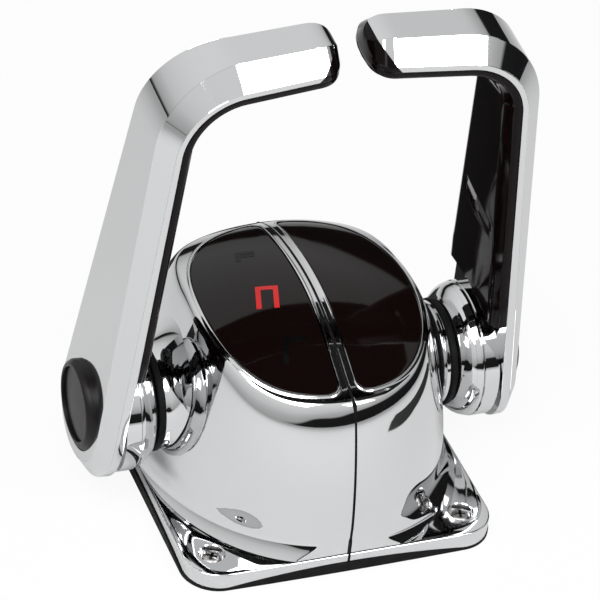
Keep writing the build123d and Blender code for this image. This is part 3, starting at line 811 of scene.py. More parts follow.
    def cavity(self) -> bpy.types.Object:
        """Space inside the half, a wall's thickness under its outside.

        Returns:
            The space as a closed form, to be cut away.
        """
        t = np.linspace(-1, 1, 61)
        plan = self.shape.plan(t)
        half = np.array([self.shape.half_width, self.shape.half_length])
        tops = self.rim_height(plan) - self.wall
        rows = []
        for share in (0.0, 0.2, 0.4, 0.6, 0.8, 0.92, 1.0):
            height = -1.0 + (tops + 1.0) * share
            flat = self.shape.scale(np.maximum(height, self.shape.flare_top))[:, None]
            rows.append(np.column_stack([plan * (flat - self.wall / half), height]))
        for share in (0.9, 0.7, 0.5, 0.3, 0.0):
            inner = rows[6][:, :2] * np.array([share, 1.0])
            rows.append(np.column_stack([inner, self.shape.crown(inner[:, 0], inner[:, 1]) - self.wall - 1.0]))
        web = self.wall * self.web_share
        for row in rows:
            row[:, 0] += self.shape.seam / 2 + web - web * np.clip(row[:, 0] / self.web_reach, 0, 1)
        loops = [np.concatenate([row, row[:1]]) for row in rows]
        piece = mesh_object("cavity", np.concatenate(loops), grid_faces(len(loops), len(loops[0]), True))
        body = bmesh.new()
        body.from_mesh(piece.data)
        bmesh.ops.remove_doubles(body, verts=body.verts, dist=0.001 * MM)
        bmesh.ops.holes_fill(body, edges=body.edges, sides=0)
        bmesh.ops.recalc_face_normals(body, faces=body.faces)
        body.to_mesh(piece.data)
        body.free()
        return piece

    def boss(self) -> bpy.types.Object:
        """Round boss on the side that flares into the dome and carries the lever's shaft.

        Returns:
            The boss, which overlaps the dome's wall.
        """
        root, face, radius, edge = self.boss_root, self.boss_face, self.boss_radius, self.boss_edge
        profile = [(root, self.boss_bore)]
        for share in np.linspace(0, 1, 14):
            flare = self.boss_flare * (1 - share) ** self.boss_flare_power
            profile.append((root + (face - edge - root) * share, radius + flare))
        profile.append((face - self.boss_edge_middle[0], radius - self.boss_edge_middle[1]))
        profile += [(face, radius - edge), (face, self.boss_bore), (root, self.boss_bore)]
        return turned_about_hub("boss", profile, self.hub_y, self.hub_z)

    def build(self, palette: Palette) -> bpy.types.Object:
        """Make the dressed half.

        Args:
            palette: the built finishes.

        Returns:
            The half as one piece.
        """
        skin = self.skin()
        cut_away(skin, self.cavity())
        floor, wide, rim = self.seat_height, self.seat_radius + self.seat_chamfer, self.shape.flange_top
        seat = [(0, floor), (self.seat_radius, floor), (self.seat_radius, rim - self.seat_chamfer)]
        seat += [(wide, rim), (wide, self.seat_top), (0, self.seat_top)]
        for place in (-self.screw_y, self.screw_y):
            drill = revolved("drill", seat)
            drill.data.transform(Matrix.Translation(Vector((self.screw_x, place, 0)) * MM))
            cut_away(skin, drill)
        boss = self.boss()
        for part in (skin, boss):
            palette.dress(part, Surface.CHROME)
        finish_mesh(skin, sharp_angle=30.0, merge=0.0008)
        whole = join(f"{self.side.word}_dome_half", [skin, boss])
        set_hand(whole, self.side)
        return whole


def revolved(name: str, profile: list[tuple[float, float]], segments: int = 96) -> bpy.types.Object:
    """Turn a profile of (radius, height) about the Z axis.

    Args:
        name: the object's name.
        profile: points from one end to the other; radius 0 closes an end.
        segments: steps round the axis.

    Returns:
        The turned object, smooth with its real edges sharp.
    """
    turn = np.linspace(0, 2 * math.pi, segments, endpoint=False)
    rows = [np.stack([r * np.cos(turn), r * np.sin(turn), np.full(segments, h)], axis=1) for r, h in profile]
    piece = mesh_object(name, np.concatenate(rows), grid_faces(len(rows), segments, True))
    finish_mesh(piece)
    return piece


def turned_about_hub(
    name: str, profile: list[tuple[float, float]], hub_y: float, hub_z: float, segments: int = 128
) -> bpy.types.Object:
    """Turn a profile of (place along X, radius) about the hub's axis.

    Args:
        name: the object's name.
        profile: points along the axis.
        hub_y: the axis's Y in millimetres.
        hub_z: the axis's Z in millimetres.
        segments: steps round the axis.

    Returns:
        The turned object.
    """
    piece = revolved(name, [(radius, along) for along, radius in profile], segments)
    piece.data.transform(Matrix.Rotation(math.radians(90), 4, "Y"))
    piece.data.transform(Matrix.Translation(Vector((0, hub_y, hub_z)) * MM))
    finish_mesh(piece)
    return piece


def rounded(corners: list[tuple[float, float]], radii: list[float], steps: int = 4) -> np.ndarray:
    """Round the inner corners of an open run of points.

    Args:
        corners: the run's corners.
        radii: length of rounding at each corner; the ends take none.
        steps: segments in each rounding.

    Returns:
        The rounded run.
    """
    points = [np.array(corner, float) for corner in corners]
    run = [points[0]]
    for before, here, after, reach in zip(points, points[1:], points[2:], radii[1:-1]):
        if reach <= 0:
            run.append(here)
            continue
        start = here + (before - here) / np.linalg.norm(before - here) * reach
        stop = here + (after - here) / np.linalg.norm(after - here) * reach
        for share in np.linspace(0, 1, steps + 1):
            run.append((1 - share) ** 2 * start + 2 * share * (1 - share) * here + share**2 * stop)
    run.append(points[-1])
    return np.array(run)


@dataclass
class TopPanel:
    """Gloss panel let into one half of the crown."""

    side: Side
    shape: DomeShape
    panel: PanelShape
    thickness: float = 1.75
    edge: float = 0.5
    edge_turns: tuple[float, ...] = (0, 22, 45, 67, 90)
    face_shares: tuple[float, ...] = (0.0, 0.12, 0.25, 0.4, 0.55, 0.7, 0.82, 0.91, 0.96)
    back_shares: tuple[float, ...] = (1.0, 0.9, 0.5, 0.0)
    columns: int = 220

    def build(self, palette: Palette) -> bpy.types.Object:
        """Make the dressed panel.

        Args:
            palette: the built finishes.

        Returns:
            The panel.
        """
        pivot = np.array(self.panel.pivot)
        facing = np.linspace(-math.pi, math.pi, self.columns, endpoint=False)
        heading = np.stack([np.cos(facing), np.sin(facing)], axis=1)
        reach = self.panel.reach(facing, 0.0)
        profile = [(share, 0.0, 0.0) for share in self.face_shares]
        for angle in np.radians(self.edge_turns):
            profile.append((1.0, -self.edge * (1 - math.sin(angle)), -self.edge * (1 - math.cos(angle))))
        profile += [(share, 0.0, -self.thickness) for share in self.back_shares]
        rows = []
        for share, grow, lift in profile:
            plan = pivot + heading * (reach * share + grow)[:, None]
            rows.append(np.column_stack([plan, self.shape.crown(plan[:, 0], plan[:, 1]) + lift]))
        faces = grid_faces(len(rows), self.columns, True)
        piece = mesh_object(f"{self.side.word}_gloss_panel", np.concatenate(rows), faces)
        finish_mesh(piece, sharp_angle=50.0)
        palette.dress(piece, Surface.PANEL)
        set_hand(piece, self.side)
        return piece


@dataclass
class LeverForm:
    """Path and sections of a lever, drawn upright on the right and then leaned."""

    hub_y: float = 5.5
    hub_z: float = 46.0
    hub_face: float = 101.6
    arm_lean_in: float = 4.73
    grip_rise: float = 4.5
    rest_lean: float = 5.5
    arm_length: float = 197.3
    bend_radius: float = 40.0
    grip_tip: float = 6.0
    nose_length: float = 13.0
    nose_power: float = 2.7
    nose_reach: float = 0.99
    nose_middle: float = 10.0
    nose_flat: float = 0.12
    nose_lead: float = 18.0
    face_half: tuple[float, ...] = (25.0, 14.3, 8.6, 8.4)
    flank_half: tuple[float, ...] = (32.6, 21.1, 18.2, 17.0)
    flank_depth: tuple[float, ...] = (5.8, 7.5, 9.5, 9.5)
    shell_depth: tuple[float, ...] = (10.2, 10.2, 12.2, 12.2)
    trim_side: float = 3.6
    trim_bevel_depth: float = 3.2
    trim_bevel: float = 6.0
    trim_crown: float = 1.0
    trim_draft: float = 0.3
    trim_sunk: float = 0.6
    trim_inset: float = 0.9
    trim_lip: tuple[Point2, ...] = ((0.15, 0.55), (0.5, 0.15))
    foot_radius: float = 45.5
    foot_corner: float = 9.0
    line_width: float = 0.22
    line_depth: float = 0.28
    back_round: float = 0.35
    parting_top: float = 7.0
    parting_foot: float = 19.0

    def __post_init__(self) -> None:
        """Work out where the arm, the bend, the grip and the nose begin."""
        self.turn = 90 - self.arm_lean_in - self.grip_rise
        self.bend_start = self.arm_length - self.bend_radius * math.tan(math.radians(self.turn / 2))
        self.grip_angle = self.arm_lean_in + self.turn
        bend_point = self.hub_point() + self.heading(self.arm_lean_in) * self.bend_start
        self.bend_centre = bend_point + self.inward(self.arm_lean_in) * self.bend_radius
        self.grip_point = self.bend_centre - self.inward(self.grip_angle) * self.bend_radius
        middle = self.shell_depth[-1] * math.sin(math.radians(self.grip_rise))
        rise = math.cos(math.radians(self.grip_rise))
        self.grip_length = (self.grip_point[0] - self.grip_tip - middle) / rise
        self.nose_start = self.grip_length - self.nose_length
        self.bend_run = self.bend_radius * math.radians(self.turn)

    def hub_point(self) -> np.ndarray:
        """Middle of the hub on the lever's outer face."""
        return np.array([self.hub_face, self.hub_y, self.hub_z])

    @staticmethod
    def heading(angle: float) -> np.ndarray:
        """Direction along the outer face, leaning inward from the vertical."""
        return np.array([-math.sin(math.radians(angle)), 0.0, math.cos(math.radians(angle))])

    @staticmethod
    def inward(angle: float) -> np.ndarray:
        """Direction square to the outer face, into the lever."""
        return np.array([-math.cos(math.radians(angle)), 0.0, -math.sin(math.radians(angle))])

    @staticmethod
    def blend(sizes: tuple[float, ...], place: float) -> float:
        """Size at a place: 0 at the hub, 1 and 2 at the bend's ends, 3 at the nose."""
        step = min(int(place), len(sizes) - 2)
        return sizes[step] + (sizes[step + 1] - sizes[step]) * (place - step)

    def at(self, run: float) -> tuple[np.ndarray, float, float, float]:
        """Describe the path at a distance from the hub.

        Args:
            run: distance along the outer face.

        Returns:
            Its point, its lean, its place from 0 to 3, and how far the nose has closed.
        """
        if run <= self.bend_start:
            point = self.hub_point() + self.heading(self.arm_lean_in) * run
            return point, self.arm_lean_in, run / self.bend_start, 1.0
        past = run - self.bend_start
        if past <= self.bend_run:
            facing = self.arm_lean_in + self.turn * past / self.bend_run
            point = self.bend_centre - self.inward(facing) * self.bend_radius
            return point, facing, 1 + past / self.bend_run, 1.0
        past -= self.bend_run
        point = self.grip_point + self.heading(self.grip_angle) * past
        if past <= self.nose_start:
            return point, self.grip_angle, 2 + past / self.nose_start, 1.0
        share = min((past - self.nose_start) / (self.nose_length * self.nose_reach), 1.0)
        return point, self.grip_angle, 3.0, max(1 - share**self.nose_power, 0.0) ** (1 / self.nose_power)

    def runs(self, first: float) -> list[float]:
        """Distances of the sections from a first one to the nose's tip.

        Args:
            first: distance of the first section from the hub.

        Returns:
            The distances, rising.
        """
        bend_end = self.bend_start + self.bend_run
        runs = list(np.linspace(first, self.bend_start, 26))
        runs += list(np.linspace(self.bend_start, bend_end, 29)[1:])
        runs += list(np.linspace(bend_end, bend_end + self.nose_start, 12)[1:])
        for angle in np.linspace(0, 90, 19)[1:]:
            past = self.nose_length * self.nose_reach * math.sin(math.radians(angle))
            runs.append(bend_end + self.nose_start + past)
        return runs

    def nose_row(self, runs: list[float]) -> int:
        """Index of the last section before the nose."""
        past = self.bend_start + self.bend_run + self.nose_start - self.nose_lead
        return int(np.argmax(np.array(runs) > past))

    def set_in(self, run: float, section: np.ndarray) -> np.ndarray:
        """Put a flat section of (depth, across) rows on the path.

        Args:
            run: distance from the hub.
            section: the section's rows.

        Returns:
            The section's points.
        """
        point, facing, _, closed = self.at(run)
        keep = self.nose_flat + (1 - self.nose_flat) * closed
        depth = self.nose_middle + (section[:, 0] - self.nose_middle) * keep if closed < 1 else section[:, 0]
        along = point[None, :] + self.inward(facing)[None, :] * depth[:, None]
        along[:, 1] += section[:, 1] * closed
        return along

    def shell_half(self, place: float) -> np.ndarray:
        """Half of the shell's section from the face's middle to the back's middle.

        Args:
            place: place along the lever, from 0 to 3.

        Returns:
            Rows of (depth, across), with the grooves along both edges.
        """
        face, flank = self.blend(self.face_half, place), self.blend(self.flank_half, place)
        low, back = self.blend(self.flank_depth, place), self.blend(self.shell_depth, place)
        along = np.array([low, flank - face]) / math.hypot(low, flank - face) * self.line_width
        first, second = np.array([0, face]), np.array([low, flank])
        corners = [(0, 0), (0, face * 0.5), (0, face - self.line_width)]
        corners += [tuple(first + (self.line_depth, 0)), tuple(first + along)]
        corners += [tuple(second - along), tuple(second - (0, self.line_depth)), (low + self.line_width, flank)]
        corners += [(back, flank), (back, flank * 0.5), (back, 0)]
        return rounded(corners, [0, 0, 0, 0, 0, 0, 0, 0, self.back_round, 0, 0])

    def shell_section(self, place: float) -> np.ndarray:
        """Whole closed section of the shell."""
        half = self.shell_half(place)
        return np.concatenate([half, (half * np.array([1, -1]))[-2:0:-1]])

    def trim_section(self, place: float) -> tuple[np.ndarray, np.ndarray]:
        """Seen run of the trim's section across the lever, and its back under it.

        Args:
            place: place along the lever, from 0 to 3.

        Returns:
            Rows of (depth, across) for the seen run and for the back.
        """
        flank, seat = self.blend(self.flank_half, place), self.blend(self.shell_depth, place)
        side, bevel = seat + self.trim_side, seat + self.trim_side + self.trim_bevel_depth
        edge = flank - self.trim_inset
        half = [(seat - self.trim_sunk, edge)] + [(seat + up, flank - back) for up, back in self.trim_lip]
        half += [(side, flank - self.trim_draft), (bevel, flank - self.trim_bevel), (bevel + self.trim_crown, 0)]
        run = rounded(half, [0, 0.2, 0.2, 1.2, 2.0, 0])
        seen = np.concatenate([run, (run * np.array([1, -1]))[-2::-1]])
        back = np.column_stack([np.full(len(seen), seat - self.trim_sunk), seen[:, 1].clip(-edge, edge)])
        return seen, back

    def foot_run(self, across: np.ndarray) -> np.ndarray:
        """Where the trim starts for places across the lever, round the bezel, corners rounded.

        Args:
            across: places across the lever from its middle.

        Returns:
            The distance from the hub at each place.
        """
        across = np.abs(across)
        half = self.blend(self.flank_half, 0.2) - self.trim_draft
        past = np.clip(across - (half - self.foot_corner), 0, self.foot_corner)
        corner = self.foot_corner - np.sqrt(self.foot_corner**2 - past**2)
        return np.sqrt(self.foot_radius**2 - np.minimum(across, half) ** 2) + corner

    def lean(self, piece: bpy.types.Object) -> None:
        """Lean an upright mesh about the hub's axis to its neutral place.

        Args:
            piece: the upright object.
        """
        hub = Vector((0, self.hub_y, self.hub_z)) * MM
        turn = Matrix.Translation(hub) @ Matrix.Rotation(math.radians(self.rest_lean), 4, "X")
        piece.data.transform(turn @ Matrix.Translation(-hub))

    def parting(self) -> tuple[Vector, Vector]:
        """Point and direction of the slanting line between the shell and the black nose.

        Returns:
            A point of the cut's plane, in metres, and its normal.
        """
        slant = math.degrees(math.atan((self.parting_foot - self.parting_top) / self.shell_depth[-1]))
        past = self.grip_length - self.parting_top + self.grip_tip
        point = self.grip_point + self.heading(self.grip_angle) * past
        return Vector(point) * MM, Vector(self.heading(self.grip_angle + slant))


def halve(piece: bpy.types.Object, point: Vector, normal: Vector, keep_far: bool) -> None:
    """Cut a closed mesh by a plane, keep one part and close the cut.

    Args:
        piece: the object to cut.
        point: a point of the plane.
        normal: the plane's direction.
        keep_far: whether the part on the normal's side is kept.
    """
    body = bmesh.new()
    body.from_mesh(piece.data)
    everything = list(body.verts) + list(body.edges) + list(body.faces)
    cut = bmesh.ops.bisect_plane(
        body, geom=everything, plane_co=point, plane_no=normal, clear_inner=keep_far, clear_outer=not keep_far
    )
    rim = [edge for edge in cut["geom_cut"] if isinstance(edge, bmesh.types.BMEdge)]
    bmesh.ops.edgeloop_fill(body, edges=rim)
    body.to_mesh(piece.data)
    body.free()


@dataclass
class Lever:
    """One lever: chrome shell with its hub, black trim with its nose cap, and the trim's screw."""

    side: Side
    form: LeverForm
    hub_inner_face: float = 82.5
    hub_wall: float = 31.8
    hub_bore: float = 8.2
    hub_depth: float = 7.3
    hub_edge: float = 0.4
    bezel_hole: float = 20.45
    bezel_seat: float = 90.0
    drill_end: float = 112.0
    sharp_angle: float = 34.0
    foot_shares: tuple[float, ...] = (0.0, 0.12, 0.3, 0.55, 0.8)
    screw_run: float = 91.0
    screw_radius: float = 2.7
    screw_sink: float = 2.2
    screw_gap: float = 0.3
    screw_stem: Point2 = (1.4, 4.0)
    screw_top: tuple[Point2, ...] = ((2.7, -0.9), (2.3, -0.5), (0, -0.4))
    hexagon: Point2 = (1.25, -1.7)

    def shell(self, palette: Palette) -> bpy.types.Object:
        """Chrome shell from the hub to the slanting line at the nose.

        Args:
            palette: the built finishes.

        Returns:
            The shell with its hub.
        """
        form = self.form
        runs = form.runs(0.0)
        rows = [form.set_in(run, form.shell_section(form.at(run)[2])) for run in runs]
        last = form.nose_row(runs)
        faces = grid_faces(last + 1, len(rows[0]), True)
        piece = mesh_object("shell", np.concatenate(rows[: last + 1]), faces)
        nose = mesh_object("nose", np.concatenate(rows[last:]), grid_faces(len(rows) - last, len(rows[0]), True))
        halve(nose, *form.parting(), keep_far=False)
        half = form.shell_half(0.0)
        fan = []
        for angle in np.linspace(0, math.pi, 49):
            across, down = half[:, 1] * math.cos(angle), -half[:, 1] * math.sin(angle)
            point = form.hub_point()[None, :] + form.inward(form.arm_lean_in)[None, :] * half[:, :1]
            point = point + form.heading(form.arm_lean_in)[None, :] * down[:, None]
            point[:, 1] += across
            fan.append(point)
        foot = mesh_object("hub_foot", np.concatenate(fan), grid_faces(len(fan), len(half), False))
        for part in (piece, nose, foot):
            palette.dress(part, Surface.CHROME)
        shell = join("shell", [piece, nose, foot])
        finish_mesh(shell, sharp_angle=self.sharp_angle, merge=0.003)
        seat, end, hole = self.bezel_seat, self.drill_end, self.bezel_hole
        pocket = [(seat, 0), (seat, hole), (end, hole), (end, 0)]
        cut_away(shell, turned_about_hub("drill", pocket, form.hub_y, form.hub_z))
        finish_mesh(shell, sharp_angle=self.sharp_angle, merge=0.002)
        block = self.hub_block()
        palette.dress(block, Surface.CHROME)
        form.lean(shell)
        whole = join(f"{self.side.word}_chrome_lever", [shell, block])
        set_hand(whole, self.side)
        return whole

    def hub_block(self) -> bpy.types.Object:
        """Solid round behind the shell's hub, which the cone bears on.

        Returns:
            The round as one closed form.
        """
        inner, outer, bore, edge = self.hub_inner_face, self.hub_wall, self.hub_bore, self.hub_edge
        deep = inner + self.hub_depth
        profile = [(inner, bore), (inner, outer - edge), (inner + edge, outer)]
        profile += [(deep, outer), (deep, bore), (inner, bore)]
        return turned_about_hub("hub_block", profile, self.form.hub_y, self.form.hub_z)

    def trim(self, palette: Palette) -> bpy.types.Object:
        """Black moulding on the lever's inner side, with the cap that closes the nose.

        Args:
            palette: the built finishes.

        Returns:
            The moulding and the cap as one piece.
        """
        form = self.form
        runs = form.runs(form.foot_radius + form.foot_corner)
        first_seen, first_back = form.trim_section(form.at(form.foot_radius)[2])
        start_seen, start_back = form.foot_run(first_seen[:, 1]), form.foot_run(first_back[:, 1])
        rows = []
        for share in self.foot_shares:
            row = []
            for section, start in ((first_seen, start_seen), (first_back[::-1], start_back[::-1])):
                run = start + (runs[0] - start) * share
                along = form.hub_point()[None, :] + form.heading(form.arm_lean_in)[None, :] * run[:, None]
                along = along + form.inward(form.arm_lean_in)[None, :] * section[:, :1]
                along[:, 1] += section[:, 1]
                row.append(along)
            rows.append(np.concatenate(row))
        for run in runs:
            seen, back = form.trim_section(form.at(run)[2])
            rows.append(form.set_in(run, np.concatenate([seen, back[::-1]])))
        count, width = len(first_seen), len(rows[0])
        faces = grid_faces(len(rows), width, True)
        faces += [(i, i + 1, width - 2 - i, width - 1 - i) for i in range(count - 1)]
        trim = mesh_object("trim", np.concatenate(rows), faces)
        finish_mesh(trim, sharp_angle=self.sharp_angle, merge=0.003)
        self.sink_screw(trim)
        cap_rows = [form.set_in(run, form.shell_section(form.at(run)[2])) for run in runs[form.nose_row(runs) :]]
        cap = mesh_object("nose_cap", np.concatenate(cap_rows), grid_faces(len(cap_rows), len(cap_rows[0]), True))
        halve(cap, *form.parting(), keep_far=True)
        finish_mesh(cap, sharp_angle=self.sharp_angle, merge=0.003)
        for part in (trim, cap):
            palette.dress(part, Surface.TRIM)
        whole = join(f"{self.side.word}_black_trim", [trim, cap])
        form.lean(whole)
        set_hand(whole, self.side)
        return whole

    def screw_frame(self, depth: float) -> Matrix:
        """Place of something turned about Z that stands on the trim at a depth into the lever.

        Args:
            depth: depth from the lever's outer face.

        Returns:
            The transform from the origin, in metres.
        """
        form = self.form
        point, facing, _, _ = form.at(self.screw_run)
        out = Vector(form.inward(facing))
        along = Vector(form.heading(facing))
        turn = Matrix((along, out.cross(along), out)).transposed().to_4x4()
        return Matrix.Translation((Vector(point) + out * depth) * MM) @ turn

    @property
    def trim_top(self) -> float:
        """Depth of the trim's crown at its screw."""
        form = self.form
        return form.shell_depth[0] + form.trim_side + form.trim_bevel_depth + form.trim_crown

    def sink_screw(self, trim: bpy.types.Object) -> None:
        """Cut the recess for the screw's head.

        Args:
            trim: the moulding that is cut.
        """
        floor, top, radius = -self.screw_sink, self.screw_stem[1], self.screw_radius + self.screw_gap
        drill = revolved("drill", [(0, floor), (radius, floor), (radius, top), (0, top)], 48)
        drill.data.transform(self.screw_frame(self.trim_top))
        cut_away(trim, drill)

    def screw(self, palette: Palette) -> bpy.types.Object:
        """Cap screw with a hexagon recess.

        Args:
            palette: the built finishes.

        Returns:
            The screw in its recess.
        """
        floor, (stem, deep) = -self.screw_sink, self.screw_stem
        profile = [(0, floor - deep), (stem, floor - deep), (stem, floor), (self.screw_radius, floor)]
        head = revolved("head", profile + list(self.screw_top), 48)
        half, bottom = self.hexagon
        cut_away(head, revolved("hexagon", [(0, bottom), (half, bottom), (half, 1.0), (0, 1.0)], 6))
        finish_mesh(head)
        head.data.transform(self.screw_frame(self.trim_top))
        palette.dress(head, Surface.STAINLESS)
        head.name = f"{self.side.word}_trim_cap_screw"
        self.form.lean(head)
        set_hand(head, self.side)
        return head


@dataclass
class HubStack:
    """Turned pieces about the hub's axis: rubber seal, chrome cone, button bezel and button."""

    side: Side
    hub_y: float = 5.5
    hub_z: float = 46.0
    bore: float = 8.4
    seal_faces: Point2 = (69.1, 72.2)
    seal_radius: float = 25.2
    seal_round: float = 1.1
    cone_faces: Point2 = (72.4, 82.45)
    cone_radii: Point2 = (24.4, 31.2)
    cone_run: float = 8.8
    cone_swell: float = 1.5
    cone_lip: Point2 = (81.4, 31.4)
    cone_root: float = 23.6
    mouth: tuple[float, float, float] = (100.5, 104.8, 17.5)
    mouth_lift: float = 1.6
    cap_back: float = 101.4
    recess_floor: float = 16.9
    button_back: float = 79.0
    stem_radius: float = 3.3

    def turned(self, name: str, profile: list[tuple[float, float]], radii: list[float]) -> bpy.types.Object:
        """Turn a rounded profile of (along, radius) about the hub's axis.

        Args:
            name: the piece's name after the side's.
            profile: the profile's corners.
            radii: length of rounding at each corner.

        Returns:
            The turned piece on its own side.
        """
        run = [tuple(point) for point in rounded(profile, radii)]
        piece = turned_about_hub(f"{self.side.word}_{name}", run, self.hub_y, self.hub_z, 160)
        set_hand(piece, self.side)
        return piece

    def seal(self, palette: Palette) -> bpy.types.Object:
        """Rubber ring between the dome's boss and the cone.

        Args:
            palette: the built finishes.

        Returns:
            The dressed ring.
        """
        (back, front), bore, radius = self.seal_faces, self.bore, self.seal_radius
        profile = [(back, bore), (back, radius), (front, radius), (front, bore), (back, bore)]
        piece = self.turned("rubber_seal", profile, [0, self.seal_round, self.seal_round, 0, 0])
        palette.dress(piece, Surface.RUBBER)
        return piece

    def cone(self, palette: Palette) -> bpy.types.Object:
        """Chrome cone that widens from the seal to the lever's hub.

        Args:
            palette: the built finishes.

        Returns:
            The dressed cone.
        """
        (back, front), (near, far), bore = self.cone_faces, self.cone_radii, self.bore
        profile = [(back, bore), (back, self.cone_root)]
        for share in (0.12, 0.25, 0.4, 0.55, 0.7, 0.85):
            radius = near + (far - near) * share + self.cone_swell * math.sin(math.pi * share)
            profile.append((back + self.cone_run * share, radius))
        profile += [self.cone_lip, (front, self.cone_lip[1]), (front, bore), (back, bore)]
        piece = self.turned("chrome_cone", profile, [0, 0.7, 0.8, 0.8, 0.8, 0.8, 0.8, 0.8, 0.6, 0.3, 0, 0])
        palette.dress(piece, Surface.CHROME)
        return piece

    def raise_mouth(self, piece: bpy.types.Object) -> None:
        """Set the bezel's mouth and the button's cap a little above the hub's axis.

        Args:
            piece: the bezel or the button.
        """
        first, last, mouth_radius = self.mouth
        for corner in piece.data.vertices:
            out = abs(corner.co.x) / MM
            radius = math.hypot(corner.co.y / MM - self.hub_y, corner.co.z / MM - self.hub_z)
            if radius < mouth_radius:
                share = float(out > self.cap_back or radius > self.recess_floor)
            else:
                share = min(max((out - first) / (last - first), 0.0), 1.0)
            corner.co.z += self.mouth_lift * share * MM

    def bezel(self, palette: Palette) -> bpy.types.Object:
        """Tapered black skirt with the recess that the button sits in.

        Args:
            palette: the built finishes.

        Returns:
            The dressed bezel.
        """
        plug = [(90.1, 18.1), (90.1, 20.2), (98.6, 20.2)]
        skirt = [(98.6, 21.6), (101.4, 21.6), (103.2, 20.6), (104.8, 19.0), (105.0, 17.2)]
        recess = [(98.2, 17.2), (98.2, 3.6), (95.0, 3.6), (95.0, 18.1), (90.1, 18.1)]
        radii = [0, 0.3, 0, 0.3, 1.3, 1.3, 0.8, 0.5, 0, 0, 0, 0, 0]
        piece = self.turned("black_bezel", plug + skirt + recess, radii)
        self.raise_mouth(piece)
        palette.dress(piece, Surface.BEZEL)
        return piece

    def button(self, palette: Palette) -> bpy.types.Object:
        """Plain round button on its stem, with a shallow dish.

        Args:
            palette: the built finishes.

        Returns:
            The dressed button.
        """
        back, stem = self.button_back, self.stem_radius
        profile = [(back, 0), (back, stem), (101.3, stem), (101.5, stem)]
        profile += [(101.5, 16.85), (103.6, 16.85), (103.5, 15.2), (103.9, 0)]
        piece = self.turned("plain_button", profile, [0, 0.4, 0, 0, 0.3, 0.55, 1.5, 0])
        self.raise_mouth(piece)
        palette.dress(piece, Surface.BUTTON)
        return piece


